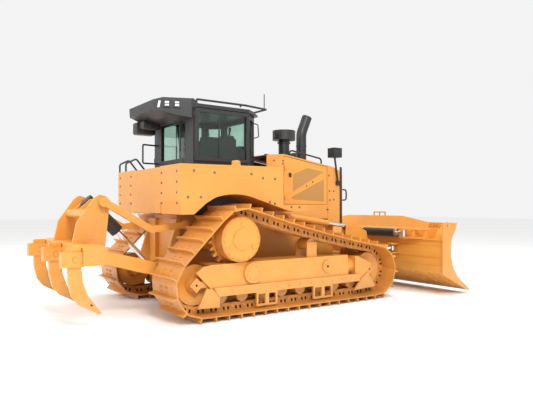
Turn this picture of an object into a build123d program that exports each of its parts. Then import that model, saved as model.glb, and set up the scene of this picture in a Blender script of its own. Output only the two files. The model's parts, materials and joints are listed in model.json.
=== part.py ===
"""Track-type bulldozer: elevated sprocket, power-angle-tilt blade, three-shank parallelogram ripper.

Frame: +X forward, +Y to the machine's left, +Z up. The origin is at the centre of the whole
machine's footprint, on the ground that its grouser tips stand on. Every length is in millimetres.
"""
import os
from math import acos, atan2, copysign, cos, pi, radians, sin, tan

from build123d import *

os.makedirs("parts", exist_ok=True)

# ---- driving dimensions ---------------------------------------------------------------------
SIDES = (("right", -1), ("left", 1))  # (name, sign of Y)

# Tracks
GAUGE = 2286  # between the track centre lines
SHOE_WIDTH = 790
CHAIN_PITCH = 203
GROUSER_HEIGHT = 65
GROUSER_THICKNESS = 22
SHOE_PLATE = 16
SHOE_END_GAP = 5
PIN_TO_PLATE = 60  # pin line up to the shoe plate's inner face
PIN_TO_RAIL = 45  # pin line down to the link's running rail
RAIL_THICKNESS = 44
RAIL_SPREAD = 160  # between the centre planes of a chain's two link rails
TOP_RUN_SAG = 45
IDLER_PITCH_RADIUS = 345
REAR_IDLER_X = -1737
FRONT_IDLER_X = 1603
SPROCKET_X = -1080
SPROCKET_Z = 1100
SPROCKET_TEETH = 23  # the chain engages every second tooth
SPROCKET_THICKNESS = 70
RUNNING_CLEARANCE = 4

# Running gear
FINAL_DRIVE_RADIUS = 325
FINAL_DRIVE_COVER_Y = 1450  # outer face of the cover, from the centre plane
ROLLER_RADIUS = 100
ROLLER_LENGTH = 250
ROLLER_COUNT = 8
CARRIER_RADIUS = 92
TRACK_FRAME_WIDTH = 420
YOKE_PLATE = 45  # plates either side of an idler

# Hull
HULL_WIDTH = 860
HULL_BOTTOM = 500
HOOD_WIDTH = 1120
GUARD_WIDTH = 1140
PANEL = 12  # thickness of the sheet panels
DOOR_GAP = 6
FENDER_OUTER_Y = 1230
FENDER_INNER_Y = 560
FENDER_TOP = 2160
FENDER_REAR_X = -1950

# Cab
CAB_WIDTH = 1520
CAB_REAR_X = -1490
CAB_FRONT_X = -235
CAB_FLOOR_Z = 2190
CAB_BELT_Z = 2270
CAB_EAVE_Z = 3060
CAB_ROOF_Z = 3150
CAB_POST = 110
GLASS = 8
CAB_DOOR_THICKNESS = 40

# Blade
BLADE_WIDTH = 4060
BLADE_GROUND_GAP = 52
BLADE_BACK_X = 2725
BLADE_PIVOT_X = 2470
BLADE_TILT_Z = 640
BLADE_TOP_Z = 1386
LIFT_PIVOT_X = -190
LIFT_PIVOT_Z = 520
ARM_Y = 600  # centre planes of the push arms
ARM_THICKNESS = 110

# Ripper
LOWER_PIN_FRONT = (-1800, 600)  # lower links on the tractor bracket
LINK_RISE = 334
LINK_RUN = 1200
LINK_STANCE_X = 220  # from a lower pin forward to the upper pin above it
LINK_STANCE_Z = 695
RIPPER_BEAM_WIDTH = 2200
SHANK_SPACING = 1000
SHANK_THICKNESS = 75

PIN_RADIUS = 32
BORE_GAP = 2
EYE_RADIUS = 58
ROD_RADIUS = 32

TRACK_Y = GAUGE / 2
TRACK_OUTER_Y = TRACK_Y + SHOE_WIDTH / 2
GROUND_TO_PIN = GROUSER_HEIGHT + SHOE_PLATE + PIN_TO_PLATE
IDLER_Z = GROUND_TO_PIN + IDLER_PITCH_RADIUS
SPROCKET_PITCH_RADIUS = CHAIN_PITCH / (2 * sin(2 * pi / SPROCKET_TEETH))


# ---- helpers --------------------------------------------------------------------------------
def side_view(y=0.0):
    """Sketch plane seen from the right side: X forward, Z up, extruded towards -Y."""
    return Plane(origin=(0, y, 0), x_dir=(1, 0, 0), z_dir=(0, -1, 0))


def front_view(x=0.0):
    """Sketch plane across the machine: Y to the left, Z up, extruded towards +X."""
    return Plane(origin=(x, 0, 0), x_dir=(0, 1, 0), z_dir=(1, 0, 0))


def plan_view(z=0.0):
    """Sketch plane level with the ground, extruded upwards."""
    return Plane.XY.offset(z)


def save(piece, name):
    """Label a finished piece and write it as one node."""
    piece.part.label = name
    export_step(piece.part, f"parts/{name}.step")


def prism(plane, points, amount, both=False, mode=Mode.ADD):
    """Extrude one closed polygon; call it inside a BuildPart block."""
    with BuildSketch(plane) as profile:
        with BuildLine():
            Polyline(*points, close=True)
        make_face()
    extrude(profile.sketch, amount=amount, both=both, mode=mode)


def disc(plane, centre, radius, amount, both=False, mode=Mode.ADD):
    """Extrude one round; call it inside a BuildPart block."""
    with BuildSketch(plane) as profile:
        with Locations(centre):
            Circle(radius)
    extrude(profile.sketch, amount=amount, both=both, mode=mode)


def block(low, high, mode=Mode.ADD):
    """Box between two corners; call it inside a BuildPart block."""
    middle = [(a + b) / 2 for a, b in zip(low, high)]
    size = [abs(b - a) for a, b in zip(low, high)]
    with Locations(tuple(middle)):
        Box(*size, mode=mode)


def bar(start, end, radius, mode=Mode.ADD):
    """Round bar between two points; call it inside a BuildPart block."""
    axis = Vector(*end) - Vector(*start)
    with BuildSketch(Plane(origin=start, z_dir=axis)) as profile:
        Circle(radius)
    extrude(profile.sketch, amount=axis.length, mode=mode)


def bent_tube(points, bend, radius):
    """Round tube along a polyline with equal bends; call it inside a BuildPart block."""
    with BuildLine() as path:
        FilletPolyline(*points, radius=bend)
    start = path.line @ 0
    with BuildSketch(Plane(origin=start, z_dir=path.line % 0)) as profile:
        Circle(radius)
    sweep(profile.sketch, path=path.line)


def cylinder(names, pin, eye, pin_axis, barrel, rod, eye_half, eye_radius=EYE_RADIUS, stubs=None):
    """Save a hydraulic cylinder as two nodes: a barrel turning on its pin and a rod that slides in it.

    barrel and rod are (radius, near end, far end) and (radius, length); distances run from the pin and from
    the rod's eye. Stubs is the half length of a trunnion across the barrel, in place of a bored eye.
    """
    pin, eye, pin_axis = Vector(*pin), Vector(*eye), Vector(*pin_axis)
    along = (eye - pin).normalized()
    barrel_radius, near, far = barrel
    rod_radius, rod_length = rod
    with BuildPart() as tube:
        bar(pin + along * near, pin + along * far, barrel_radius)
        if stubs:
            level = along.cross(Vector(0, 0, 1)).normalized()
            bar(pin - level * stubs, pin + level * stubs, PIN_RADIUS)
        else:
            bar(pin - pin_axis * eye_half, pin + pin_axis * eye_half, EYE_RADIUS)
            bar(
                pin - pin_axis * (eye_half + 1), pin + pin_axis * (eye_half + 1),
                PIN_RADIUS + BORE_GAP, Mode.SUBTRACT
            )
        bar(pin + along * (near + 30), pin + along * (far + 1), rod_radius + 1, Mode.SUBTRACT)
    save(tube, names[0])
    with BuildPart() as shaft:
        bar(eye - along * rod_length, eye - along * (PIN_RADIUS + 10), rod_radius)
        bar(eye - pin_axis * eye_half, eye + pin_axis * eye_half, eye_radius)
    save(shaft, names[1])


def tangent(centre_a, radius_a, centre_b, radius_b):
    """Ends of the straight that runs from circle a to circle b with both on its left."""
    reach = centre_b - centre_a
    turn = atan2(reach.Y, reach.X) - acos((radius_a - radius_b) / reach.length)
    outward = Vector(cos(turn), sin(turn))
    return centre_a + outward * radius_a, centre_b + outward * radius_b


def arc_middle(centre, radius, first, last):
    """Middle point of the shorter arc from first to last."""
    return centre + ((first - centre) + (last - centre)).normalized() * radius


# ---- chain path -----------------------------------------------------------------------------
rear_idler = Vector(REAR_IDLER_X, IDLER_Z)
front_idler = Vector(FRONT_IDLER_X, IDLER_Z)
sprocket = Vector(SPROCKET_X, SPROCKET_Z)

bottom_rear, bottom_front = tangent(rear_idler, IDLER_PITCH_RADIUS, front_idler, IDLER_PITCH_RADIUS)
top_front, top_rear = tangent(front_idler, IDLER_PITCH_RADIUS, sprocket, SPROCKET_PITCH_RADIUS)
climb_top, climb_foot = tangent(sprocket, SPROCKET_PITCH_RADIUS, rear_idler, IDLER_PITCH_RADIUS)
top_middle = (top_front + top_rear) / 2
sag_down = (Vector(top_middle.X, 0) - top_middle).normalized() * TOP_RUN_SAG

with BuildLine() as pitch_line:
    Line(bottom_rear, bottom_front)
    ThreePointArc(
        bottom_front, arc_middle(front_idler, IDLER_PITCH_RADIUS, bottom_front, top_front), top_front
    )
    ThreePointArc(top_front, top_middle + sag_down, top_rear)
    ThreePointArc(top_rear, arc_middle(sprocket, SPROCKET_PITCH_RADIUS, top_rear, climb_top), climb_top)
    Line(climb_top, climb_foot)
    ThreePointArc(
        climb_foot, arc_middle(rear_idler, IDLER_PITCH_RADIUS, climb_foot, bottom_rear), bottom_rear
    )

chain_path = pitch_line.wire()
shoe_count = round(chain_path.length / CHAIN_PITCH)
pins = [chain_path @ (i / shoe_count) for i in range(shoe_count)]
link_length = (pins[1] - pins[0]).length
half_wrap = link_length / 2 / IDLER_PITCH_RADIUS  # half a link's angle round an idler, in radians

# One shoe in its link's own axes: distance forward from the link's first pin, height above the pins
grouser_front = link_length - SHOE_END_GAP
grouser_rear = grouser_front - GROUSER_THICKNESS
plate_top = PIN_TO_PLATE + SHOE_PLATE
shoe_profile = [
    (SHOE_END_GAP, plate_top),
    (grouser_rear, plate_top),
    (grouser_rear, GROUND_TO_PIN),
    (grouser_front, GROUND_TO_PIN),
    (grouser_front, plate_top),
]

shoe_outline = []
plate_inside = []
rail_inside = []
for index, pin in enumerate(pins):
    next_pin = pins[(index + 1) % shoe_count]
    forward = (next_pin - pin).normalized()
    backward = (pins[index - 1] - pin).normalized()
    outward = Vector(forward.Y, -forward.X)
    bisector = (outward + Vector(-backward.Y, backward.X)).normalized()
    shoe_outline += [pin + forward * along + outward * height for along, height in shoe_profile]
    plate_inside.append(pin + bisector * PIN_TO_PLATE)
    rail_inside.append(pin - bisector * PIN_TO_RAIL)

# ---- tracks ---------------------------------------------------------------------------------
for name, side in SIDES:
    with BuildPart() as track:
        prism(side_view(side * TRACK_Y), shoe_outline, SHOE_WIDTH / 2, both=True)
        prism(side_view(side * TRACK_Y), plate_inside, SHOE_WIDTH / 2, both=True, mode=Mode.SUBTRACT)
        for rail in (-1, 1):
            with BuildSketch(side_view(side * TRACK_Y + rail * RAIL_SPREAD / 2)):
                with BuildLine():
                    Polyline(*plate_inside, close=True)
                make_face()
                with BuildLine():
                    Polyline(*rail_inside, close=True)
                make_face(mode=Mode.SUBTRACT)
            extrude(amount=RAIL_THICKNESS / 2, both=True)
    save(track, f"track_{name}")

# ---- idlers, rollers and final drives -------------------------------------------------------
idler_radius = IDLER_PITCH_RADIUS * cos(half_wrap) - PIN_TO_RAIL - RUNNING_CLEARANCE
IDLER_HALF_WIDTH = 105
IDLER_HUB_RADIUS = 90
IDLER_HUB_HALF = 125
IDLER_WEB_HALF = 45
# Half of an idler's section: distance from the track's centre line, radius
idler_half = [
    (IDLER_HUB_HALF, 0),
    (IDLER_HUB_HALF, IDLER_HUB_RADIUS),
    (IDLER_WEB_HALF, IDLER_HUB_RADIUS + 30),
    (IDLER_HALF_WIDTH, idler_radius),
]
idler_section = idler_half + [(-across, radius) for across, radius in reversed(idler_half)]

roller_z = GROUND_TO_PIN + PIN_TO_RAIL + RUNNING_CLEARANCE + ROLLER_RADIUS
ROLLER_REAR_X = -1330
ROLLER_FRONT_X = 1190
roller_step = (ROLLER_FRONT_X - ROLLER_REAR_X) / (ROLLER_COUNT - 1)
roller_xs = [ROLLER_REAR_X + roller_step * i for i in range(ROLLER_COUNT)]

# The carrier roller holds the sagging top run up: it sits under the rail at CARRIER_X
CARRIER_X = 330
top_run = Edge.make_three_point_arc(top_front, top_middle + sag_down, top_rear)
carrier_drop = PIN_TO_RAIL + RUNNING_CLEARANCE + CARRIER_RADIUS
run_share = (top_front.X - CARRIER_X) / (top_front.X - top_rear.X)
carrier_z = (top_run @ run_share).Y - carrier_drop / cos(
    atan2(top_rear.Y - top_front.Y, top_front.X - top_rear.X)
)

highest_pin = max(pins, key=lambda pin: pin.Y)
tooth_phase = atan2(highest_pin.Y - SPROCKET_Z, highest_pin.X - SPROCKET_X)
tooth_step = 2 * pi / SPROCKET_TEETH
TOOTH_ROOT_RADIUS = SPROCKET_PITCH_RADIUS - 33
TOOTH_TIP_RADIUS = SPROCKET_PITCH_RADIUS + 24
# One tooth: share of the tooth step past a seat for the chain's bushing, radius
tooth_profile = [
    (0.2, TOOTH_ROOT_RADIUS), (0.38, TOOTH_TIP_RADIUS), (0.62, TOOTH_TIP_RADIUS), (0.8, TOOTH_ROOT_RADIUS)
]
teeth = []
for index in range(SPROCKET_TEETH):
    for share, radius in tooth_profile:
        turn = tooth_phase + tooth_step * (index + share)
        teeth.append((SPROCKET_X + radius * cos(turn), SPROCKET_Z + radius * sin(turn)))

COVER_DEPTH = 200
COVER_CHAMFER = 28
COVER_RELIEF = 14  # how far the cover's hub and bosses stand out
COVER_HUB_RADIUS = 150
COVER_BOSS_RADIUS = 30
COVER_BOSS_RING = 215
COVER_BOSS_TURNS = (90, 210, 330)
HUB_RADIUS = 305
AXLE_HOUSING_RADIUS = 230
cover_inner_y = FINAL_DRIVE_COVER_Y - COVER_DEPTH
hub_inner_y = TRACK_Y - 105
# Final drive section: distance out from the centre plane, radius
final_drive_section = [
    (HULL_WIDTH / 2, 0),
    (HULL_WIDTH / 2, AXLE_HOUSING_RADIUS),
    (hub_inner_y, AXLE_HOUSING_RADIUS),
    (hub_inner_y, HUB_RADIUS),
    (cover_inner_y, HUB_RADIUS),
    (cover_inner_y, FINAL_DRIVE_RADIUS),
    (FINAL_DRIVE_COVER_Y - COVER_CHAMFER, FINAL_DRIVE_RADIUS),
    (FINAL_DRIVE_COVER_Y, FINAL_DRIVE_RADIUS - COVER_CHAMFER),
    (FINAL_DRIVE_COVER_Y, 0),
]

for name, side in SIDES:
    with BuildPart() as idlers:
        for idler_x in (REAR_IDLER_X, FRONT_IDLER_X):
            centre = (idler_x, side * TRACK_Y, IDLER_Z)
            with BuildSketch(Plane(origin=centre, x_dir=(0, side, 0), z_dir=(1, 0, 0))):
                with BuildLine():
                    Polyline(*idler_section, close=True)
                make_face()
            revolve(axis=Axis(centre, (0, 1, 0)))
    save(idlers, f"idlers_{name}")

    with BuildPart() as rollers:
        for roller_x in roller_xs:
            disc(side_view(side * TRACK_Y), (roller_x, roller_z), ROLLER_RADIUS, ROLLER_LENGTH / 2, both=True)
        disc(side_view(side * TRACK_Y), (CARRIER_X, carrier_z), CARRIER_RADIUS, ROLLER_LENGTH / 2, both=True)
    save(rollers, f"rollers_{name}")

    with BuildPart() as final_drive:
        centre = (SPROCKET_X, 0, SPROCKET_Z)
        with BuildSketch(Plane(origin=centre, x_dir=(0, side, 0), z_dir=(1, 0, 0))):
            with BuildLine():
                Polyline(*final_drive_section, close=True)
            make_face()
        revolve(axis=Axis(centre, (0, 1, 0)))
        prism(side_view(side * TRACK_Y), teeth, SPROCKET_THICKNESS / 2, both=True)
        disc(
            side_view(side * FINAL_DRIVE_COVER_Y), (SPROCKET_X, SPROCKET_Z), COVER_HUB_RADIUS,
            COVER_RELIEF, both=True
        )
        for turn in COVER_BOSS_TURNS:
            boss_x = SPROCKET_X + COVER_BOSS_RING * cos(radians(turn))
            boss_z = SPROCKET_Z + COVER_BOSS_RING * sin(radians(turn))
            disc(
                side_view(side * FINAL_DRIVE_COVER_Y), (boss_x, boss_z), COVER_BOSS_RADIUS,
                COVER_RELIEF, both=True
            )
    save(final_drive, f"final_drive_{name}")


# ---- hull, track frames and rear bracket ----------------------------------------------------
HULL_REAR_X = -1620
HULL_FRONT_X = 1560
HULL_TOP = 1260
GUARD_REAR_X = 1316
GUARD_FRONT_X = 1668
GUARD_BOTTOM = 1240
PIVOT_X = -858  # shaft that the track frames swing on
PIVOT_Z = 605
PIVOT_RADIUS = 120
FRAME_TOP = 765
FRAME_BOTTOM = 400
FRAME_FRONT_X = 1075
LEDGE_TOP = 438
LEDGE_BOTTOM = 313
LEDGE_DEPTH = 40
NECK_RADIUS = 165
NECK_Z = 564
YOKE_BLOCK_X = 1230
AXLE_BLOCK = 105  # centre to corner of the square blocks that hold the idlers' axles
STEP_BOTTOM = 112
STEP_PLATE = 32
POCKET_HALF_LENGTH = 340  # the sprocket's lowest teeth dip into a pocket in the frame
POCKET_HALF_WIDTH = 60
POCKET_BOTTOM = SPROCKET_Z - SPROCKET_PITCH_RADIUS - 40
frame_inner_y = TRACK_Y - TRACK_FRAME_WIDTH / 2
frame_outer_y = TRACK_Y + TRACK_FRAME_WIDTH / 2

LIFT_BOSS_RADIUS = 100
LIFT_BOSS_LENGTH = 100
LIFT_PIN_RADIUS = 60
HOOD_BOTTOM = 1350
BARREL_PIN_X = 330  # lift cylinders: pins on the hull, eyes on the push arms' uprights
BARREL_PIN_Z = 1400
LIFT_EYE_X = 1725
LIFT_EYE_Z = 1198
LIFT_CYLINDER_Y = 655
LIFT_CYLINDER_RADIUS = 55
LIFT_EAR = 30
LIFT_EAR_Y = 597
LIFT_PIN_END_Y = 716

with BuildPart() as main_frame:
    hull_profile = [
        (HULL_REAR_X, 640),
        (HULL_REAR_X + 160, HULL_BOTTOM),
        (HULL_FRONT_X - 240, HULL_BOTTOM),
        (HULL_FRONT_X, 640),
        (HULL_FRONT_X, GUARD_BOTTOM),
        (GUARD_REAR_X, GUARD_BOTTOM),
        (GUARD_REAR_X, HULL_TOP),
        (-600, HULL_TOP),
        (-760, 1440),
        (HULL_REAR_X, 1440),
    ]
    prism(side_view(), hull_profile, HULL_WIDTH / 2, both=True)
    for name, side in SIDES:
        reach = frame_inner_y - HULL_WIDTH / 2
        disc(
            side_view(side * (HULL_WIDTH / 2 + reach / 2)), (PIVOT_X, PIVOT_Z), PIVOT_RADIUS,
            reach / 2, both=True
        )
        boss_y = side * (HULL_WIDTH / 2 + LIFT_BOSS_LENGTH / 2)
        disc(
            side_view(boss_y), (LIFT_PIVOT_X, LIFT_PIVOT_Z), LIFT_BOSS_RADIUS, LIFT_BOSS_LENGTH / 2, both=True
        )
        bore_y = side * (HULL_WIDTH / 2 + 10)
        disc(
            side_view(bore_y), (LIFT_PIVOT_X, LIFT_PIVOT_Z), LIFT_PIN_RADIUS + BORE_GAP,
            LIFT_BOSS_LENGTH, both=True, mode=Mode.SUBTRACT
        )
        low = (BARREL_PIN_X - 90, side * (HULL_WIDTH / 2 - 10), HULL_TOP - 120)
        block(low, (BARREL_PIN_X + 90, side * LIFT_EAR_Y, HOOD_BOTTOM - 6))
        ear = [
            (-80, HULL_TOP - 60), (-62, BARREL_PIN_Z), (0, BARREL_PIN_Z + 62), (62, BARREL_PIN_Z),
            (80, HULL_TOP - 60)
        ]
        ear = [(BARREL_PIN_X + x, z) for x, z in ear]
        prism(side_view(side * (LIFT_EAR_Y - LIFT_EAR / 2)), ear, LIFT_EAR / 2, both=True)
        bar(
            (BARREL_PIN_X, side * (LIFT_EAR_Y - 2), BARREL_PIN_Z),
            (BARREL_PIN_X, side * LIFT_PIN_END_Y, BARREL_PIN_Z), PIN_RADIUS
        )
save(main_frame, "main_frame")

with BuildPart() as engine:
    block((200, -330, HULL_TOP), (1240, 330, 2180))
save(engine, "engine")

# Rear bracket: two cheek plates on a cross block behind the hull, each carrying a lower and an upper pin
LINK_Y = 600  # centre planes of the ripper's links
LOWER_LINK_THICKNESS = 130
UPPER_LINK_THICKNESS = 70
CHEEK = 45
CHEEK_GAP = 6
upper_pin_front = (LOWER_PIN_FRONT[0] + LINK_STANCE_X, LOWER_PIN_FRONT[1] + LINK_STANCE_Z)
cheek_profile = [
    (HULL_REAR_X, 520),
    (LOWER_PIN_FRONT[0] - 60, 520),
    (LOWER_PIN_FRONT[0] - 85, LOWER_PIN_FRONT[1] + 30),
    (upper_pin_front[0] - 90, upper_pin_front[1] + 20),
    (upper_pin_front[0] - 60, upper_pin_front[1] + 85),
    (HULL_REAR_X, upper_pin_front[1] + 85),
]
lower_cheek_y = LINK_Y - LOWER_LINK_THICKNESS / 2 - CHEEK_GAP - CHEEK
CYLINDER_LUG = 40
RIPPER_EYE_HALF = 45
RIPPER_EYE = (-1840, 640)
with BuildPart() as rear_bracket:
    for side in (-1, 1):
        block((HULL_REAR_X - 60, side * (lower_cheek_y + CHEEK), 520), (HULL_REAR_X, side * 250, 1380))
        prism(side_view(side * (lower_cheek_y + CHEEK / 2)), cheek_profile, CHEEK / 2, both=True)
        for pin_x, pin_z in (LOWER_PIN_FRONT, upper_pin_front):
            disc(
                side_view(side * (lower_cheek_y + CHEEK / 2)), (pin_x, pin_z), PIN_RADIUS + BORE_GAP,
                CHEEK, both=True, mode=Mode.SUBTRACT
            )
        lug = [(HULL_REAR_X - 50, 560), (RIPPER_EYE[0], 582), (RIPPER_EYE[0], 698), (HULL_REAR_X - 50, 750)]
        prism(side_view(side * (RIPPER_EYE_HALF + 6 + CYLINDER_LUG / 2)), lug, CYLINDER_LUG / 2, both=True)
        disc(
            side_view(side * (RIPPER_EYE_HALF + 6 + CYLINDER_LUG / 2)), RIPPER_EYE, EYE_RADIUS,
            CYLINDER_LUG / 2, both=True
        )
    block((HULL_REAR_X - 60, 5 - lower_cheek_y, 520), (HULL_REAR_X, lower_cheek_y - 5, 760))
    lug_reach = RIPPER_EYE_HALF + 6 + CYLINDER_LUG
    for side in (-1, 1):
        head = [(RIPPER_EYE[0], side * y, RIPPER_EYE[1]) for y in (lug_reach - 5, lug_reach + 14)]
        bar(*head, PIN_RADIUS + 8)
save(rear_bracket, "rear_bracket")

# Outlines in side view of a track frame's pieces
frame_profile = [
    (-1565, FRAME_TOP - 10),
    (-800, FRAME_TOP),
    (FRAME_FRONT_X - 20, FRAME_TOP),
    (FRAME_FRONT_X, FRAME_BOTTOM),
    (-1240, FRAME_BOTTOM),
]
yoke_profiles = [
    [
        (-1300, FRAME_TOP - 6), (-1640, 742), (-1765, 662), (-1428, LEDGE_BOTTOM),
        (-1240, LEDGE_BOTTOM), (-1240, FRAME_TOP - 6)
    ],
    [(YOKE_BLOCK_X, 738), (1280, 736), (1624, 588), (1362, 293), (YOKE_BLOCK_X, LEDGE_BOTTOM)],
]
guard_profiles = [
    [(-1752, 175), (-1414, 161), (-1400, LEDGE_BOTTOM + 10), (-1520, 420), (-1611, 445)],
    [(1186, 168), (1684, 195), (1500, 440), (1320, LEDGE_BOTTOM + 10)],
]
ledge_profile = [(-1507, LEDGE_TOP), (-1428, LEDGE_BOTTOM), (1303, LEDGE_BOTTOM), (1290, LEDGE_TOP)]
# Roller guard steps under the ledge: rear end, front end, windows
step_table = [(-799, -422, 2), (278, 682, 2)]
for name, side in SIDES:
    with BuildPart() as track_frame:
        prism(side_view(side * TRACK_Y), frame_profile, TRACK_FRAME_WIDTH / 2, both=True)
        bar(
            (FRAME_FRONT_X - 30, side * TRACK_Y, NECK_Z), (YOKE_BLOCK_X + 5, side * TRACK_Y, NECK_Z),
            NECK_RADIUS
        )
        block(
            (YOKE_BLOCK_X, side * frame_inner_y, FRAME_BOTTOM), (YOKE_BLOCK_X + 55, side * frame_outer_y, 735)
        )
        for plate_y in (frame_inner_y + YOKE_PLATE / 2, frame_outer_y - YOKE_PLATE / 2):
            for yoke_profile in yoke_profiles:
                prism(side_view(side * plate_y), yoke_profile, YOKE_PLATE / 2, both=True)
            low = (-1300, side * (plate_y - YOKE_PLATE / 2), LEDGE_BOTTOM)
            block(low, (YOKE_BLOCK_X + 10, side * (plate_y + YOKE_PLATE / 2), FRAME_BOTTOM + 5))
            arm_y = plate_y + copysign(YOKE_PLATE / 2 + 5, TRACK_Y - plate_y)
            for idler_x, arm_end in ((REAR_IDLER_X, -1540), (FRONT_IDLER_X, 1420)):
                square = [(AXLE_BLOCK, 0), (0, AXLE_BLOCK), (-AXLE_BLOCK, 0), (0, -AXLE_BLOCK)]
                square = [(idler_x + x, IDLER_Z + z) for x, z in square]
                prism(side_view(side * arm_y), square, 12, both=True)
                block(
                    (idler_x, side * (arm_y - 12), IDLER_Z - 45), (arm_end, side * (arm_y + 12), IDLER_Z + 45)
                )
                hub_end = TRACK_Y + copysign(IDLER_HUB_HALF, plate_y - TRACK_Y)
                bar((idler_x, side * hub_end, IDLER_Z), (idler_x, side * arm_y, IDLER_Z), 50)
        prism(side_view(side * (frame_outer_y + LEDGE_DEPTH / 2)), ledge_profile, LEDGE_DEPTH / 2, both=True)
        for guard_profile in guard_profiles:
            prism(
                side_view(side * (frame_outer_y + STEP_PLATE / 2 - 3)), guard_profile, STEP_PLATE / 2,
                both=True
            )
        for step_rear, step_front, windows in step_table:
            low = (step_rear, side * (frame_outer_y + LEDGE_DEPTH - STEP_PLATE), STEP_BOTTOM)
            block(low, (step_front, side * (frame_outer_y + LEDGE_DEPTH), LEDGE_BOTTOM + 5))
            window = (step_front - step_rear) / windows
            for index in range(windows):
                low = (step_rear + window * index + 32, side * frame_outer_y, STEP_BOTTOM + 30)
                high = (
                    step_rear + window * (index + 1) - 32, side * (frame_outer_y + LEDGE_DEPTH + 1),
                    LEDGE_BOTTOM - 25
                )
                block(low, high, mode=Mode.SUBTRACT)
        disc(side_view(side * (frame_outer_y + 25)), (PIVOT_X, PIVOT_Z), 150, 25, both=True)
        disc(side_view(side * (frame_outer_y + 15)), (590, PIVOT_Z), 95, 15, both=True)
        pocket_low = (SPROCKET_X - POCKET_HALF_LENGTH, side * TRACK_Y - POCKET_HALF_WIDTH, POCKET_BOTTOM)
        pocket_high = (SPROCKET_X + POCKET_HALF_LENGTH, side * TRACK_Y + POCKET_HALF_WIDTH, FRAME_TOP + 1)
        block(pocket_low, pocket_high, mode=Mode.SUBTRACT)
        block((230, side * (TRACK_Y - 150), FRAME_TOP - 5), (430, side * (TRACK_Y - 130), carrier_z + 40))
        block((230, side * (TRACK_Y + 130), FRAME_TOP - 5), (430, side * (TRACK_Y + 150), carrier_z + 40))
    save(track_frame, f"track_frame_{name}")

# ---- fenders and rear tank ------------------------------------------------------------------
FENDER_WIDTH = FENDER_OUTER_Y - FENDER_INNER_Y
LIP_FRONT_X = 284
SEAM_X = 318  # the fender's front face runs in to the hood's seam
for name, side in SIDES:
    with BuildPart() as fender:
        with BuildSketch(side_view(side * (FENDER_OUTER_Y + FENDER_INNER_Y) / 2)):
            with BuildLine():
                Polyline((SEAM_X, 1590), (LIP_FRONT_X, 1590), (LIP_FRONT_X, 1502), (21, 1489), (-110, 1510))
                Polyline((-110, 1510), (-303, 1568), (-551, 1644), (-792, 1716))
                ThreePointArc((-792, 1716), (-1080, 1748), (-1402, 1694))
                Polyline((-1402, 1694), (-1542, 1616), (-1736, 1458), (-1926, 1458), (FENDER_REAR_X, 1650))
                Polyline((FENDER_REAR_X, 1650), (FENDER_REAR_X, FENDER_TOP), (-350, FENDER_TOP + 20))
                Polyline((-350, FENDER_TOP + 20), (SEAM_X, FENDER_TOP + 20), (SEAM_X, 1590))
            make_face()
        extrude(amount=FENDER_WIDTH / 2, both=True)
        corner = [
            (-190, side * (FENDER_OUTER_Y + 1)), (SEAM_X, side * FENDER_INNER_Y),
            (SEAM_X, side * (FENDER_OUTER_Y + 1))
        ]
        prism(plan_view(1590), corner, FENDER_TOP, mode=Mode.SUBTRACT)
    save(fender, f"fender_{name}")

with BuildPart() as rear_tank:
    block((FENDER_REAR_X, -(FENDER_INNER_Y - 2), 1470), (-1500, FENDER_INNER_Y - 2, FENDER_TOP - 10))
save(rear_tank, "rear_tank")


# ---- hood, doors, guard, grille -------------------------------------------------------------
HOOD_REAR_X = -40
HOOD_REAR_Z = 2441
HOOD_SEAM_X = 318
HOOD_SEAM_Z = 2469
HOOD_FRONT_Z = 2318
DOOR_BOTTOM = 1606
DOOR_FRONT_X = 1296
DOOR_PANEL = 25
DOOR_TOP_GAP = 10  # the hood's lower edge slopes, and the open door's rear edge swings forward under it
hood_half = HOOD_WIDTH / 2
hood_slope = (HOOD_FRONT_Z - HOOD_SEAM_Z) / (GUARD_REAR_X - HOOD_SEAM_X)


def hood_line(x):
    """Height of the hood's upper face over the doors."""
    return HOOD_SEAM_Z + hood_slope * (x - HOOD_SEAM_X)


door_hole = [
    (HOOD_SEAM_X, DOOR_BOTTOM),
    (DOOR_FRONT_X, DOOR_BOTTOM),
    (DOOR_FRONT_X, hood_line(DOOR_FRONT_X) - 2 * PANEL),
    (HOOD_SEAM_X, hood_line(HOOD_SEAM_X) - 2 * PANEL),
]
with BuildPart() as hood:
    hood_profile = [
        (HOOD_REAR_X, HOOD_BOTTOM),
        (HOOD_REAR_X, HOOD_REAR_Z),
        (HOOD_SEAM_X, HOOD_SEAM_Z),
        (GUARD_REAR_X, HOOD_FRONT_Z),
        (GUARD_REAR_X, HOOD_BOTTOM),
    ]
    prism(side_view(), hood_profile, hood_half, both=True)
    room_profile = [
        (HOOD_REAR_X - 1, HOOD_BOTTOM - 1),
        (HOOD_REAR_X - 1, HOOD_REAR_Z - PANEL),
        (HOOD_SEAM_X, HOOD_SEAM_Z - PANEL),
        (GUARD_REAR_X + 1, HOOD_FRONT_Z - PANEL),
        (GUARD_REAR_X + 1, HOOD_BOTTOM - 1),
    ]
    prism(side_view(), room_profile, hood_half - PANEL, both=True, mode=Mode.SUBTRACT)
    prism(side_view(), door_hole, hood_half + 1, both=True, mode=Mode.SUBTRACT)
save(hood, "hood")

# Each engine door is a leaf with two triangular grilles either side of a diagonal rib
door_low = DOOR_BOTTOM + DOOR_GAP
door_rear = HOOD_SEAM_X + DOOR_GAP
door_front = DOOR_FRONT_X - DOOR_GAP
door_top_rear = hood_line(door_rear) - 2 * PANEL - DOOR_TOP_GAP
door_top_front = hood_line(door_front) - 2 * PANEL - DOOR_TOP_GAP
ENGINE_HINGE_X = 331
ENGINE_HINGE_Y = 573
ENGINE_HINGE_RADIUS = 10
GRILLE_RECESS = 12
GRILLE_RIB_PITCH = 48
GRILLE_RIB = 14
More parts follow.
